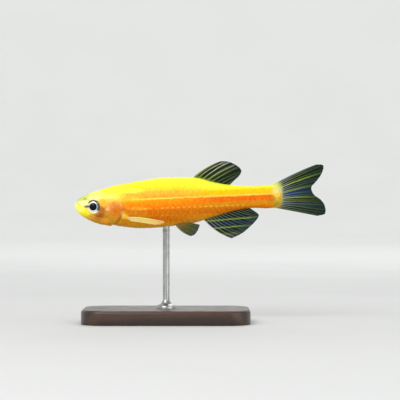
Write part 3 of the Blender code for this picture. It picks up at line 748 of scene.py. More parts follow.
def make_scales(side, rings, sheet, ends, material):
    """The scales of one side, each laid on the skin with its front sunk and its rear edge lifted."""
    template = make_scale_template()
    corners = np.array([tuple(vert.co) for vert in template.verts])
    centres = scale_places(ends, rings, side > 0)
    draw = np.random.default_rng(SCALE_SEED + side)
    centres = centres + draw.normal(0.0, SCALE_SCATTER, centres.shape)
    size = scale_size(centres[:, 0]) * draw.normal(1.0, SCALE_SIZE_SPREAD, len(centres))
    tilt = SCALE_TILT * draw.normal(1.0, SCALE_TILT_SPREAD, len(centres))

    x = centres[:, :1] + corners[:, 0] * SCALE_HALF_LENGTH * size[:, None]
    around = centres[:, 1:] + corners[:, 1] * SCALE_HALF_WIDTH * size[:, None]
    height = (
        corners[:, 2] * SCALE_HALF_THICKNESS + corners[:, 0] * tilt[:, None]
        - SCALE_ARCH * corners[:, 1] ** 2 + SCALE_LIFT
    )
    seats = read_sheet(sheet, rings, centres[:, 0], centres[:, 1])
    keep = behind_gill(seats[:, 0], seats[:, 2]) > SCALE_GILL_GAP
    keep &= line_distance(seats[:, 0], seats[:, 2], *PECTORAL_SEAT) > SCALE_FIN_GAP
    normals = np.cross(np.gradient(sheet, axis=1), np.gradient(sheet, axis=0))
    normals /= np.maximum(np.linalg.norm(normals, axis=-1, keepdims=True), 1e-9)
    points = read_sheet(sheet, rings, x, around)
    clear = smooth_step(*SCALE_SINK_REACH, behind_gill(points[..., 0], points[..., 2]))
    height -= SCALE_SINK * (1 - clear)
    points += read_sheet(normals, rings, x, around) * height[..., None]
    points[..., 0] += np.maximum(x - BODY_LENGTH, 0.0)
    points[..., 1] *= side

    # The bake's map has a small patch for each scale, at the scale's place on the skin laid out flat
    root = np.stack([centres[:, 0] / BODY_LENGTH * 0.95, 0.5 + side * (0.25 + centres[:, 1] / 40)], axis=-1)
    patches = root[:, None, :] + corners[None, :, :2] * BAKE_PATCH_HALF_WIDTH
    plates = np.broadcast_to(0.5 + corners[:, :2] / 2, patches.shape)
    name = "scales_right" if side > 0 else "scales_left"
    mesh = join_copies(name, template, points[keep], {"OFBake": patches[keep], "plate": plates[keep]})
    template.free()
    add_piece(name, mesh, material, "skin")


def turned(profile, steps):
    """A form turned about the upright axis from a profile of radii and heights."""
    form = bmesh.new()
    line = [form.verts.new((radius, 0, height)) for radius, height in profile]
    for lower, upper in zip(line, line[1:]):
        form.edges.new((lower, upper))
    bmesh.ops.spin(
        form, geom=form.verts[:] + form.edges[:], axis=(0, 0, 1), cent=(0, 0, 0), angle=2 * math.pi,
        steps=steps, use_merge=True,
    )
    bmesh.ops.remove_doubles(form, verts=form.verts, dist=1e-4)
    return form


def make_eye(side, material):
    """An eyeball with its lens standing out of the pupil, turned from a profile about its own axis."""
    knots = np.linspace(0, 1, len(EYE_PROFILE))
    profile = smooth_line(knots, EYE_PROFILE, np.linspace(0, 1, 3 * len(EYE_PROFILE)))
    form = turned([(max(radius, 0.0), height) for radius, height in profile], EYE_STEPS)
    # The axis is turned to point out of the side of the head, a little forwards
    form.transform(Matrix.Rotation(-side * math.pi / 2, 4, "X"))
    face = [(vert.co.x, vert.co.z) for vert in form.verts]
    form.transform(Matrix.Rotation(side * EYE_TURN, 4, "Z"))
    form.transform(Matrix.Scale(METRES, 4))
    form.transform(Matrix.Translation(place(EYE_CENTRE[0], side * EYE_CENTRE[1], EYE_CENTRE[2])))
    name = "right" if side > 0 else "left"
    mesh = to_mesh("eyeball_" + name, form)
    set_uv(mesh, "iris", 0.5 + np.array(face) / (IRIS_MAP_WIDTH * EYE_RADIUS))
    add_piece("eyeball_" + name, mesh, material, "eye", "eye_" + name)


def fin_point(fin, share, outwards):
    """Points of a fin's middle surface: each ray runs from the root line to the margin line, and the
    foremost rays arch."""
    root, margin = along(fin.root, share), along(fin.margin, share)
    out = outwards[..., None]
    arch = 4 * out * (1 - out) * (1 - share[..., None])
    return root + (margin - root) * out + np.asarray(fin.arch) * arch


def fin_surface(fin, share, outwards):
    """Points of the fin as it sways in the water, and the fin's normals there."""
    step = 0.002
    low, high = np.clip(share - step, 0, 1), np.clip(share + step, 0, 1)
    across = fin_point(fin, high, outwards) - fin_point(fin, low, outwards)
    outward = fin_point(fin, share, outwards + step) - fin_point(fin, share, outwards - step)
    normals = np.cross(across, outward)
    normals /= np.linalg.norm(normals, axis=-1, keepdims=True)
    wave = fin.sway * outwards**2 * np.sin(2 * math.pi * (0.9 * share + 0.35 * outwards))
    return fin_point(fin, share, outwards) + normals * wave[..., None], normals


def mirrored(fin, side):
    """A paired fin on one side of the body: 1 for the right, -1 for the left."""

    def across(points):
        return [(x, side * y, z) for x, y, z in points]

    return fin._replace(root=across(fin.root), margin=across(fin.margin), arch=across([fin.arch])[0])


def make_membrane(name, fin, material):
    """The thin web between the rays, with a pleat from ray to ray and a scalloped margin."""
    form = bmesh.new()
    columns = (fin.rays - 1) * MEMBRANE_COLUMNS_PER_RAY
    bmesh.ops.create_grid(form, x_segments=columns, y_segments=MEMBRANE_ROWS, size=1.0)
    spots = np.array([tuple(vert.co) for vert in form.verts])
    share, outwards = (spots[:, 0] + 1) / 2, (spots[:, 1] + 1) / 2
    between = np.sin(math.pi * share * (fin.rays - 1))
    reach = 1 - MARGIN_SCALLOP * between**2 * smooth_step(0.5, 1.0, outwards)
    points, normals = fin_surface(fin, share, outwards * reach)
    points += normals * (MEMBRANE_PLEAT * between * smooth_step(0.0, 0.3, outwards))[:, None]
    for vert, point in zip(form.verts, points):
        vert.co = place(*point)
    mesh = to_mesh(name + "_membrane", form)
    set_uv(mesh, "fin", np.stack([share, outwards], axis=-1))
    piece = add_piece(name + "_membrane", mesh, material, "fin", name)
    wall = piece.modifiers.new("thickness", "SOLIDIFY")
    wall.thickness = MEMBRANE_THICKNESS * METRES
    wall.offset = 0.0


def ray_paths(fin):
    """Each ray's lengths as rows of share across the fin, way outwards and radius. A ray forks twice, and
    the foremost one stays whole and is the stoutest."""
    spacing = 1 / (fin.rays - 1)
    steps = np.linspace(0, 1, TUBE_RINGS)
    first, second = RAY_FORKS
    paths = []

    def add(start, end, share_from, share_to, radius_from, radius_to):
        share = share_from + (share_to - share_from) * smooth_step(0, 1, steps)
        radius = radius_from + (radius_to - radius_from) * steps
        paths.append((share, start + (end - start) * steps, radius))

    middle = (RAY_ROOT_RADIUS + RAY_TIP_RADIUS) / 2
    for ray in range(fin.rays):
        centre = ray * spacing
        if ray == 0:
            add(RAY_START, RAY_END, centre, centre, RAY_ROOT_RADIUS * 1.2, RAY_TIP_RADIUS * 1.3)
            continue
        add(RAY_START, first, centre, centre, RAY_ROOT_RADIUS, middle)
        last = ray == fin.rays - 1
        for half in ((-1,) if last else (-1, 1)):
            fork = centre if last else centre + half * RAY_SPREADS[0] * spacing
            add(first, second, centre, fork, middle * 0.9, RAY_TIP_RADIUS * 1.3)
            for quarter in (-1, 1):
                tip = min(fork + quarter * RAY_SPREADS[1] * spacing, 1.0)
                add(second, RAY_END, fork, tip, RAY_TIP_RADIUS * 1.2, RAY_TIP_RADIUS * 0.8)
    return paths


def make_tube_template(rings):
    """A closed tube of rings, made by drawing a circle out again and again, with its ring and turn numbered
    in the place of its points."""
    form = bmesh.new()
    made = bmesh.ops.create_circle(form, cap_ends=True, segments=TUBE_SIDES, radius=1.0)
    end = form.faces[:]
    for ring in range(1, rings):
        made = bmesh.ops.extrude_face_region(form, geom=end)
        bmesh.ops.delete(form, geom=end if ring > 1 else [], context="FACES")
        end = [part for part in made["geom"] if isinstance(part, bmesh.types.BMFace)]
        moved = {vert for face in end for vert in face.verts}
        bmesh.ops.translate(form, verts=list(moved), vec=(0, 0, 1))
    form.verts.index_update()
    return form


def make_tubes(name, lines, radii, uv_places):
    """Tubes along lines of points in millimetres, joined in one mesh."""
    template = make_tube_template(lines.shape[1])
    corners = np.array([tuple(vert.co) for vert in template.verts])
    ring = np.round(corners[:, 2]).astype(int)
    way = np.gradient(lines, axis=1)
    way /= np.linalg.norm(way, axis=-1, keepdims=True)
    side = np.cross(way, (0.0, 1.0, 0.0))
    side /= np.linalg.norm(side, axis=-1, keepdims=True)
    face = np.cross(side, way)
    around = side[:, ring] * corners[:, 0, None] + face[:, ring] * corners[:, 1, None]
    points = lines[:, ring] + radii[:, ring, None] * around
    mesh = join_copies(name, template, points, {"fin": uv_places[:, ring]})
    template.free()
    return mesh


def make_rays(name, fin, material):
    share, outwards, radii = np.moveaxis(np.array(ray_paths(fin)), 1, 0)
    lines, _ = fin_surface(fin, share, outwards)
    mesh = make_tubes(name + "_rays", lines, radii, np.stack([share, outwards], axis=-1))
    add_piece(name + "_rays", mesh, material, "fin", name)


def make_barbels(material):
    """Two pairs of thin feelers, which leave the skin towards their tips."""
    lines, radii = [], []
    steps = np.linspace(0, 1, 16)
    for start, end, sag, stand_off, radius in BARBELS:
        x = start[0] + (end[0] - start[0]) * steps
        z = start[1] + (end[1] - start[1]) * steps - sag * 4 * steps * (1 - steps)
        for side in (1, -1):
            y = side * (flank(x, z) - 0.09 + 0.11 * smooth_step(0, 0.3, steps) + stand_off * steps**1.6)
            lines.append(np.stack([x, y, z], axis=-1))
            radii.append(radius * (1 - 0.72 * steps))
    places = np.broadcast_to(np.stack([steps, steps], axis=-1), (len(lines), len(steps), 2))
    mesh = make_tubes("barbels", np.array(lines), np.array(radii), places)
    add_piece("barbels", mesh, material, "skin")


def make_base(material):
    """A flat block with round corners, a softened top rim and a slight chamfer under it."""
    form = bmesh.new()
    bmesh.ops.create_cube(form, size=METRES)
    form.transform(Matrix.Diagonal((BASE_LENGTH, BASE_WIDTH, BASE_THICKNESS, 1.0)))
    form.transform(Matrix.Translation(place(STAND_X, 0, BASE_THICKNESS / 2 - SWIM_HEIGHT)))
    upright = [edge for edge in form.edges if abs(edge.verts[0].co.z - edge.verts[1].co.z) > METRES]
    bmesh.ops.bevel(
        form, geom=upright, offset=BASE_CORNER * METRES, segments=BASE_CORNER_STEPS, profile=0.5,
        affect="EDGES", material=-1,
    )
    for level, width, steps in ((BASE_THICKNESS, BASE_RIM, BASE_RIM_STEPS), (0.0, BASE_UNDER_RIM, 2)):
        rim = [
            edge for edge in form.edges
            if all(abs(vert.co.z - level * METRES) < METRES / 1000 for vert in edge.verts)
        ]
        bmesh.ops.bevel(
            form, geom=rim, offset=width * METRES, segments=steps, profile=0.5, affect="EDGES", material=-1
        )
    mesh = to_mesh("display_base", form)
    add_piece("display_base", mesh, material, "wood", "stand_base")
    mesh.set_sharp_from_angle(angle=math.radians(40.0))


def make_rod(material):
    """A turned rod with a flared foot and a small collar, reaching the belly."""
    belly = float(body_section(STAND_X)[1]) + SWIM_HEIGHT - BASE_THICKNESS
    shaft = ROD_FOOT[-1][0]
    collar = belly - ROD_COLLAR_DROP
    profile = [(0.0, 0.0), *ROD_FOOT, (shaft, collar)]
    profile += [(shaft + 0.10, collar + 0.08), (shaft + 0.10, collar + 0.22), (shaft, collar + 0.30)]
    profile += [(shaft, belly + 0.35), (0.0, belly + 0.35)]
    form = turned(profile, ROD_STEPS)
    form.transform(Matrix.Scale(METRES, 4))
    form.transform(Matrix.Translation(place(STAND_X, 0, BASE_THICKNESS - SWIM_HEIGHT)))
    mesh = to_mesh("display_rod", form)
    add_piece("display_rod", mesh, material, "steel", "stand_rod")
    mesh.set_sharp_from_angle(angle=math.radians(35.0))


def colour(name):
    """A palette colour as the shader needs it, in linear light."""
    return (*[
        level / 12.92 if level <= 0.04045 else ((level + 0.055) / 1.055) ** 2.4
        for level in (part / 255 for part in PALETTE[name])
    ], 1.0)


class Measure:
    """A number, place or colour that changes over a surface. Sums made with it add the nodes they need."""

    def __init__(self, tree, socket):
        self.tree, self.socket = tree, socket

    def __add__(self, other):
        return work("ADD", self, other)

    def __sub__(self, other):
        return work("SUBTRACT", self, other)

    def __rsub__(self, other):
        return work("SUBTRACT", other, self)

    def __mul__(self, other):
        return work("MULTIPLY", self, other)

    def __truediv__(self, other):
        return work("DIVIDE", self, other)

    def fade(self, start, end, low=0.0, high=1.0):
        """Rises smoothly from low at the start to high at the end."""
        made = self.tree.nodes.new("ShaderNodeMapRange")
        made.interpolation_type = "SMOOTHSTEP"
        for socket, given in zip(made.inputs, (self, start, end, low, high)):
            join(given, socket)
        return Measure(self.tree, made.outputs[0])

    def stripe(self, centre, half_width):
        """1 at the centre, fading smoothly to 0 at the half width."""
        return work("ABSOLUTE", self - centre).fade(half_width, 0.0)

    def parts(self):
        """The three parts of a place."""
        made = self.tree.nodes.new("ShaderNodeSeparateXYZ")
        join(self, made.inputs[0])
        return [Measure(self.tree, output) for output in made.outputs]


def join(value, socket):
    """Links a measure to a socket, or sets the socket to a plain value."""
    if isinstance(value, Measure):
        value.tree.links.new(value.socket, socket)
    else:
        socket.default_value = value


def tree_of(*values):
    return next(value.tree for value in values if isinstance(value, Measure))


def work(operation, *values):
    tree = tree_of(*values)
    made = tree.nodes.new("ShaderNodeMath")
    made.operation = operation
    for value, socket in zip(values, made.inputs):
        join(value, socket)
    return Measure(tree, made.outputs[0])


def squares(first, second):
    return first * first + second * second


def distance(first, second):
    return work("SQRT", squares(first, second))


def blend(share, first, second, way="MIX"):
    tree = tree_of(share, first, second)
    made = tree.nodes.new("ShaderNodeMix")
    made.data_type = "RGBA"
    made.blend_type = way
    for index, given in ((0, share), (6, first), (7, second)):
        join(given, made.inputs[index])
    return Measure(tree, made.outputs[2])


def bands(value, stops):
    """A run of palette colours over a value, each at its own place."""
    low, high = stops[0][0], stops[-1][0]
    made = value.tree.nodes.new("ShaderNodeValToRGB")
    made.color_ramp.interpolation = "EASE"
    elements = made.color_ramp.elements
    while len(elements) < len(stops):
        elements.new(0.5)
    for element, (spot, name) in zip(elements, stops):
        element.position = (spot - low) / (high - low)
        element.color = colour(name)
    join((value - low) / (high - low), made.inputs[0])
    return Measure(value.tree, made.outputs[0])


def cloud(spot, scale, detail=2.0):
    """A soft random field from 0 to 1."""
    made = spot.tree.nodes.new("ShaderNodeTexNoise")
    for label, given in (("Vector", spot), ("Scale", scale), ("Detail", detail)):
        join(given, made.inputs[label])
    return Measure(spot.tree, made.outputs[0])


def mapped(spot, scale, turn=(0, 0, 0), shift=(0, 0, 0)):
    """A place scaled, turned and shifted."""
    made = spot.tree.nodes.new("ShaderNodeMapping")
    for label, given in (("Vector", spot), ("Scale", scale), ("Rotation", turn), ("Location", shift)):
        join(given, made.inputs[label])
    return Measure(spot.tree, made.outputs[0])


def fish_place(tree):
    """Object coordinates turned into the fish's millimetres, whole and as behind, off and over."""
    source = tree.nodes.new("ShaderNodeTexCoord")
    point = Measure(tree, source.outputs["Object"])
    point = mapped(point, (1 / METRES,) * 3, shift=(TOTAL_LENGTH / 2, 0, -SWIM_HEIGHT))
    return point, *point.parts()


def own_map(tree, name):
    """The place on a piece's own UV map."""
    made = tree.nodes.new("ShaderNodeUVMap")
    made.uv_map = name
    return Measure(tree, made.outputs[0])


def new_group(name, inputs, outputs):
    """An empty group with its sockets, and its two end nodes."""
    tree = bpy.data.node_groups.new(name, "ShaderNodeTree")
    for way, sockets in (("INPUT", inputs), ("OUTPUT", outputs)):
        for label, kind in sockets.items():
            tree.interface.new_socket(name=label, in_out=way, socket_type="NodeSocket" + kind)
    return tree, tree.nodes.new("NodeGroupInput"), tree.nodes.new("NodeGroupOutput")


def use_group(tree, group, **values):
    """What a group puts out in a material, by name."""
    made = tree.nodes.new("ShaderNodeGroup")
    made.node_tree = group
    for label, value in values.items():
        join(value, made.inputs[label])
    return {output.name: Measure(tree, output) for output in made.outputs}


def fish_colours():
    """The strain's colours: bands along the flank that climb to the tail, pale lines, and the skin's marks,
    two of which are painted highlights on the gill cover. Painted shade darkens the gill opening, the
    nostrils and the mouth's crease. Skin and scales both use them."""
    tree, _, result = new_group("fish_colours", {}, {"Colour": "Color", "Pearl": "Float"})
    point, behind, off, over = fish_place(tree)
    wobble = (cloud(point, 0.8) - 0.5) * 0.35
    tilted = over - behind * BAND_SLOPE + wobble

    trunk = blend(behind.fade(*TRUNK_TO_TAIL), bands(tilted, FLANK_BANDS), bands(tilted, TAIL_BANDS))
    line_colour = blend(behind.fade(*STRIPE_TO_REAR), colour("stripe"), colour("rear stripe"))
    upper_line = tilted.stripe(FLANK_LINE + 0.02, STRIPE_HALF_WIDTH) * behind.fade(*STRIPE_START)
    trunk = blend(upper_line, trunk, line_colour)
    beat = work("SINE", behind * (2 * math.pi / SCALE_STEP_ALONG))
    beads = beat.fade(-0.5, 0.4) * cloud(point, 1.3).fade(0.3, 0.6, 0.4, 1.0)
    for centre, sink, start, end, strength in DASH_LINES:
        level = behind * sink + (centre - start * sink)
        reach = behind.fade(start, start + 1.5) * behind.fade(end, end - 3.0)
        mask = (tilted - level).stripe(0.0, DASH_HALF_WIDTH) * beads * reach * strength
        trunk = blend(mask, trunk, colour("dash"))
    trunk = blend(behind.fade(*TRUNK_TO_TAIL_ROOT), trunk, bands(tilted, TAIL_ROOT_BANDS))

    head = blend(behind.fade(*HEAD_TO_SNOUT), bands(over, HEAD_BANDS), bands(over, SNOUT_BANDS))
    whole = blend(behind.fade(*HEAD_TO_TRUNK), head, trunk)
    for mark_x, mark_z, half_length, half_height, name, strength in SKIN_MARKS:
        square = squares((behind - mark_x) / half_length, (over - mark_z) / half_height)
        whole = blend((square + wobble).fade(1.25, 0.1, 0.0, strength), whole, colour(name))
    # Painted shade: a thin line of umber along the gill opening, in the groove behind the gill cover's rim
    gill_x, gill_z = behind - GILL_ARC_CENTRE[0], over - GILL_ARC_CENTRE[1]
    gill_shade = distance(gill_x, gill_z).stripe(GILL_ARC_RADIUS + 0.20, 0.22)
    gill_shade = gill_shade * gill_x.fade(1.2, 2.6) * over.fade(1.0, -2.0, 0.0, 0.28)
    whole = blend(gill_shade, whole, colour("umber"))
    # Painted shade darkens the pits of the nostrils
    for nostril_x, nostril_z, radius in NOSTRILS:
        square = squares(behind - nostril_x, over - nostril_z)
        whole = blend(square.fade(radius**2, 0.2 * radius**2, 0.0, 0.5), whole, colour("gape"))
    # Painted shade darkens the mouth's crease between the lips
    share, above = mouth_place(behind, over)
    gape = above.stripe(0.0, 0.11) * share.fade(1.022, 0.9215)
    whole = blend(gape * 0.38, whole, colour("gape"))
    deeper = blend(cloud(point, 2.6).fade(0.35, 0.65), whole, whole, "MULTIPLY")
    join(blend(0.35, whole, deeper), result.inputs["Colour"])
    join(tilted.fade(0.0, -4.0) * off.fade(0.2, 1.0), result.inputs["Pearl"])
    return tree


def new_material(name, roughness, coat=0.0, coat_roughness=0.1, metallic=0.0, glow=0.0, gloss=0.5):
    """A material with its constants set on the shader's own sockets."""
    material = bpy.data.materials.new(name)
    material.use_nodes = True
    shader = material.node_tree.nodes["Principled BSDF"]
    constants = {
        "Roughness": roughness, "Coat Weight": coat, "Coat Roughness": coat_roughness, "Metallic": metallic,
        "Emission Strength": glow, "Specular IOR Level": gloss,
    }
    for label, value in constants.items():
        shader.inputs[label].default_value = value
    return material, material.node_tree, shader


def paint(shader, tint):
    """Gives the shader a colour, and the same colour as a faint emission: a painted glow that brightens the
    part, though it is no lamp.
    """
    join(tint, shader.inputs["Base Color"])
    join(tint, shader.inputs["Emission Color"])


def add_bump(shader, height, depth, strength):
    bump = height.tree.nodes.new("ShaderNodeBump")
    bump.inputs["Strength"].default_value = strength
    bump.inputs["Distance"].default_value = depth * METRES
    join(height, bump.inputs["Height"])
    join(Measure(height.tree, bump.outputs[0]), shader.inputs["Normal"])


def skin_material(colours):
    # glow: a painted glow of the skin's own colour, as on the scales, fins, rays and feelers
    material, tree, shader = new_material("danio_skin", 0.42, 0.08, 0.16, glow=0.05, gloss=0.07)
    paint(shader, use_group(tree, colours)["Colour"])
    grain = cloud(fish_place(tree)[0], 7.0, 4.0)
    join(grain.fade(0.3, 0.7, 0.34, 0.50), shader.inputs["Roughness"])
    add_bump(shader, grain, 0.03, 0.5)
    return material


def scale_material(colours):
    """The skin's colours, with painted shade on the front and middle of each scale, where the scale ahead
    covers it, a paler rear rim on each scale and fine growth rings.
    """
    material, tree, shader = new_material("danio_scales", 0.34, 0.06, 0.20, glow=0.05, gloss=0.06)
    look = use_group(tree, colours)
    back, side, _ = own_map(tree, "plate").parts()
    radius = distance(back - 0.18, side - 0.5)
    # Painted shade: the front and middle of each plate, which lie under the scale ahead, are darkened a
    # little
    deep = blend(0.5, look["Colour"], look["Colour"], "MULTIPLY")
    tint = blend(radius.fade(0.66, 0.46, 0.0, 0.06), look["Colour"], deep)
    paint(shader, blend(radius.fade(0.62, 0.80) * 0.05, tint, colour("pale lemon")))
    add_bump(shader, work("SINE", radius * 95.0), 0.004, 0.4)
    join(0.36 - look["Pearl"] * 0.10, shader.inputs["Roughness"])
    return material


def eye_material(colours):
    """A black lens in a silver iris, thin above and thick below, with dusky patches before and behind it
    and a dark arc above. The soft rim has the colours of the skin beside it."""
    material, tree, shader = new_material("danio_eye", 0.22, 0.22, 0.03, gloss=0.06)
    width = IRIS_MAP_WIDTH * EYE_RADIUS
    on_iris = mapped(own_map(tree, "iris"), (width, width, 1), shift=(-width / 2, -width / 2, 0))
    back, up, _ = on_iris.parts()
    radius = distance(back, up)
    safe_radius = work("MAXIMUM", radius, 0.01)
    rise, rearward = up / safe_radius, back / safe_radius
    fleck = cloud(on_iris, 9.0, 3.0)
    iris = blend(fleck.fade(0.35, 0.75, 0.0, 0.25), colour("iris silver"), colour("iris olive"))
    ahead = rearward.fade(0.1, -0.5) * radius.fade(0.92, 1.06)
    iris = blend(ahead * 0.75, iris, colour("cream yellow"))
    wedge = up.stripe(0.03, 0.40) * back.fade(-0.55, -0.75)
    crescent = rearward.fade(0.60, 0.88) * radius.fade(0.70, 0.84)
    arc = rise.fade(0.40, 0.80) * radius.fade(0.86, 0.94)
    dusk = work("MAXIMUM", work("MAXIMUM", wedge, crescent), arc)
    iris = blend(dusk * 0.92, iris, colour("iris dusk"))
    iris = blend(radius.fade(1.16, 1.26), iris, use_group(tree, colours)["Colour"])
    pupil = radius.fade(PUPIL_RADIUS + 0.015, PUPIL_RADIUS - 0.015)
    join(blend(pupil, iris, colour("lens black")), shader.inputs["Base Color"])
    join((1.0 - pupil) * 0.35, shader.inputs["Metallic"])
    add_bump(shader, fleck, 0.01, 0.4)
    return material


def fin_bands(kind, look):
    """A fin's colours: bands along the rays or level bands that cross them, with a paler root and a darker
    tip, and masks for the rays, for where a painted glint makes them pale and for how much of them shows.
    Web and rays both use them."""
    outputs = {"Colour": "Color", "Outwards": "Float", "Ray": "Float", "Glint": "Float", "Shown": "Float"}
    tree, _, result = new_group(kind + "_bands", {}, outputs)
    share, outwards, _ = own_map(tree, "fin").parts()
    point, behind, _, over = fish_place(tree)
    wobble = cloud(point, 1.6) - 0.5
    level = over - behind * (BAND_SLOPE if look.across else FIN_BAND_SLOPE)
    if look.across:
        made = bands(share + wobble * 0.03, look.across)
    else:
        made = bands(level + wobble * 0.3, look.level)
    made = blend(outwards.fade(look.tip_start, 1.0, 0.0, 0.8), made, colour(look.tip))
    root = colour(look.root) if isinstance(look.root, str) else bands(level, look.root)
    beat = work("COSINE", share * (2 * math.pi * (look.fin.rays - 1)))
    ready = {
        "Colour": blend(outwards.fade(look.root_end, look.root_end * 0.1), made, root),
        "Outwards": outwards,
        "Ray": beat.fade(0.3, 0.96),
        # painted highlight: the mask where the rays glint
        "Glint": share.fade(*look.glint[:2]) * outwards.fade(*look.glint[2:]),
        "Shown": share.fade(0.35, 0.65, 1.0, look.rear_rays),
    }
    for label, value in ready.items():
        join(value, result.inputs[label])
    return tree


def ray_tint(bands_of_fin, pale):
    """The rays' colour, pale at a painted glint, and how much of it shows: less and less towards the margin.
    """
    outwards, glint = bands_of_fin["Outwards"], bands_of_fin["Glint"]
    fading = work("MAXIMUM", outwards.fade(0.35, 0.95, 1.0, 0.3), glint)
    showing = fading * bands_of_fin["Shown"] * outwards.fade(0.02, 0.12)
    # Where the glint mask is high the rays turn pale: a painted highlight
    return blend(glint, colour(pale), colour("ray pale")), showing


def web_material(name, group, look):
    """The web is thin and clearer outwards, and the rays shine through it as soft pale lines."""
    material, tree, shader = new_material(name + "_web", 0.36, 0.05, 0.15, glow=look.glow, gloss=0.06)
    bands_of_fin = use_group(tree, group)
    tint, showing = ray_tint(bands_of_fin, look.pale)
    share = bands_of_fin["Ray"] * showing * (look.strength * 0.36)
    paint(shader, blend(share, bands_of_fin["Colour"], tint))
    thin = cloud(fish_place(tree)[0], 5.0, 3.0).fade(0.3, 0.7, -0.02, 0.02)
    join(bands_of_fin["Outwards"].fade(0.0, 1.0, *look.cover) + thin, shader.inputs["Alpha"])
    return material


def ray_material(name, group, look):
    """Rays are paler than the web, most of all at a painted glint, and show their short joints."""
    material, tree, shader = new_material(name + "_ray", 0.36, 0.15, 0.15, glow=0.06, gloss=0.25)
    bands_of_fin = use_group(tree, group)
    joints = work("SINE", bands_of_fin["Outwards"] * (RAY_JOINTS * 2 * math.pi))
    tint, showing = ray_tint(bands_of_fin, look.pale)
    share = joints.fade(-0.95, -0.2, look.strength * 0.65, look.strength) * showing
    paint(shader, blend(share, bands_of_fin["Colour"], tint))
    add_bump(shader, joints, 0.01, 0.6)
    return material


def barbel_material(colours):
    """Feelers take the colour of the skin beside them, a little paler."""
    material, tree, shader = new_material("danio_barbel", 0.40, 0.1, glow=0.08, gloss=0.2)
    paint(shader, blend(0.08, use_group(tree, colours)["Colour"], colour("cream white")))
    return material


def wear_group():
    """Fine handling marks: thin scratches and a soft smudge, each from 0 to 1."""
    inputs, outputs = {"Vector": "Vector", "Size": "Float"}, {"Scratches": "Float", "Smudge": "Float"}
    tree, entry, result = new_group("handling_marks", inputs, outputs)
    point, size = [Measure(tree, entry.outputs[label]) for label in inputs]
    lines = cloud(mapped(point, (0.25, 6.0, 1.0), (0, 0, 0.35)), size, 4.0)
    join(lines.fade(0.62, 0.74), result.inputs["Scratches"])
    join(cloud(point, size * 0.35).fade(0.35, 0.7), result.inputs["Smudge"])
    return tree


def wood_material(wear):
    """Dark walnut with long grain, pores and a satin varnish."""
    material, tree, shader = new_material("stand_walnut", 0.42, 0.25, 0.28)
    point = fish_place(tree)[0]
    long_way = mapped(point, (0.10, 1.0, 1.0), (0.06, 0.0, 0.03))
    rings = tree.nodes.new("ShaderNodeTexWave")
    rings.wave_type = "BANDS"
    rings.bands_direction = "Y"
    grain = {"Vector": long_way, "Scale": 0.17, "Distortion": 9.0, "Detail": 4.0, "Detail Scale": 0.7}
    for label, value in grain.items():
        join(value, rings.inputs[label])
    pores = cloud(long_way, 9.0, 4.0)
    rings = Measure(tree, rings.outputs["Fac"])
    tone = blend(rings.fade(0.1, 0.95), colour("dark walnut"), colour("walnut"))
    tone = blend(pores.fade(0.56, 0.68, 0.0, 0.7), tone, colour("dark walnut"))
    join(tone, shader.inputs["Base Color"])
    marks = use_group(tree, wear, Vector=point, Size=0.9)
    rough = marks["Smudge"].fade(0.0, 1.0, 0.36, 0.48) + marks["Scratches"] * 0.12
    join(rough, shader.inputs["Roughness"])
    add_bump(shader, pores, 0.02, 0.35)
    return material


def steel_material(wear):
    """Satin turned steel."""
    material, tree, shader = new_material("stand_steel", 0.28, metallic=1.0)
    point = fish_place(tree)[0]
    lines = cloud(mapped(point, (0.4, 0.4, 14.0)), 2.0, 3.0)
    marks = use_group(tree, wear, Vector=point, Size=2.0)
    join(blend(marks["Smudge"] * 0.6, colour("steel"), colour("dull steel")), shader.inputs["Base Color"])
    join(lines.fade(0.3, 0.7, 0.22, 0.36), shader.inputs["Roughness"])
    add_bump(shader, lines, 0.004, 0.4)
    return material


def make_fins():
    """Each fin with its web, its rays and its own bands."""
    groups = {kind: fin_bands(kind, look) for kind, look in FIN_LOOKS.items()}
    pieces = [(kind, "", FIN_LOOKS[kind].fin) for kind in ("dorsal", "anal", "caudal")]
    for side, ending in ((1, "_right"), (-1, "_left")):
        pieces += [(kind, ending, mirrored(FIN_LOOKS[kind].fin, side)) for kind in ("pelvic", "pectoral")]
    for kind, ending, fin in pieces:
        name = kind + "_fin" + ending
        make_membrane(name, fin, web_material(name, groups[kind], FIN_LOOKS[kind]))
        make_rays(name, fin, ray_material(name, groups[kind], FIN_LOOKS[kind]))


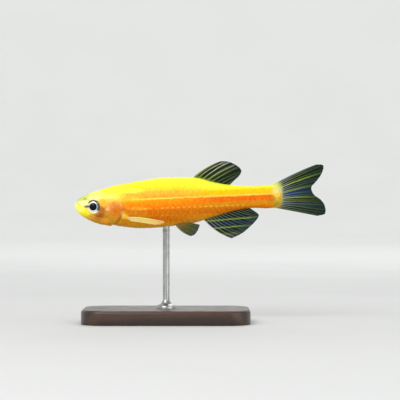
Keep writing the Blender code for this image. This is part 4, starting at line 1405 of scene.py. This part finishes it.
def make_backdrop():
    """A pale round floor that sweeps up into a low wall far from the model on every side. The far floor and
    the wall are lit a little from within, so that they stay as pale as the near floor."""
    profile = [(0.0, 0.0)]
    for angle in np.linspace(0, math.pi / 2, BACKDROP_BEND_STEPS + 1):
        across = BACKDROP_REACH - BACKDROP_BEND * (1 - math.sin(angle))
        profile.append((across, BACKDROP_BEND * (1 - math.cos(angle))))
    profile.append((BACKDROP_REACH, BACKDROP_RISE))
    form = turned(profile, BACKDROP_STEPS)
    form.transform(Matrix.Scale(METRES, 4))
    material, tree, shader = new_material("pale_backdrop", 0.85, glow=BACKDROP_GLOW)
    point, behind, off, _ = fish_place(tree)
    from_middle = distance(behind - TOTAL_LENGTH / 2, off)
    tone = blend(cloud(point, 0.02).fade(0.3, 0.7, 0.0, 0.04), colour("backdrop"), colour("fin grey"))
    join(tone, shader.inputs["Base Color"])
    lit = blend(from_middle.fade(GLOW_START, GLOW_END), colour("lens black"), colour("backdrop"))
    join(lit, shader.inputs["Emission Color"])
    mesh = to_mesh("backdrop", form)
    mesh.materials.append(material)
    mesh.shade_smooth()
    backdrop = bpy.data.objects.new("backdrop", mesh)
    bpy.context.scene.collection.objects.link(backdrop)


def add_light(name, where, size, power):
    """A soft square light pointed at the fish; its place and size are in millimetres in the scene's frame."""
    light = bpy.data.lights.new(name, "AREA")
    light.size = size * METRES
    light.energy = power
    lamp = bpy.data.objects.new(name, light)
    lamp.location = Vector(where) * METRES
    aim = Vector((0.0, 0.0, SWIM_HEIGHT))
    lamp.rotation_euler = (aim - Vector(where)).to_track_quat("-Z", "Y").to_euler()
    bpy.context.scene.collection.objects.link(lamp)


def light_and_camera():
    add_light("key", (-190.0, -370.0, 310.0), 260.0, 1.45)
    add_light("fill", (300.0, -260.0, 120.0), 300.0, 0.35)
    add_light("rim", (60.0, 320.0, 300.0), 240.0, 0.4)
    world = bpy.data.worlds.new("pale_room")
    world.use_nodes = True
    background = world.node_tree.nodes["Background"]
    background.inputs["Color"].default_value = (1.0, 1.0, 1.0, 1.0)
    background.inputs["Strength"].default_value = ROOM_LIGHT
    bpy.context.scene.world = world
    bpy.context.scene.view_settings.view_transform = "Standard"

    lens = bpy.data.cameras.new("camera")
    lens.lens = CAMERA_LENS
    lens.sensor_width = CAMERA_SENSOR
    lens.clip_start = 0.01
    camera = bpy.data.objects.new("camera", lens)
    away = PHOTO_WIDTH * CAMERA_LENS / CAMERA_SENSOR
    camera.location = (0.0, -away * METRES, SWIM_HEIGHT * METRES)
    camera.rotation_euler = (math.pi / 2, 0.0, 0.0)
    bpy.context.scene.collection.objects.link(camera)
    bpy.context.scene.camera = camera


def main():
    colours = fish_colours()
    rings, points = skin_grid()
    make_skin(points, skin_material(colours))
    sheet, ends = flat_sheet(points, rings)
    scales = scale_material(colours)
    eyes = eye_material(colours)
    for side in (1, -1):
        make_scales(side, rings, sheet, ends, scales)
        make_eye(side, eyes)
    make_barbels(barbel_material(colours))
    make_fins()
    wear = wear_group()
    make_base(wood_material(wear))
    make_rod(steel_material(wear))
    make_backdrop()
    light_and_camera()


main()
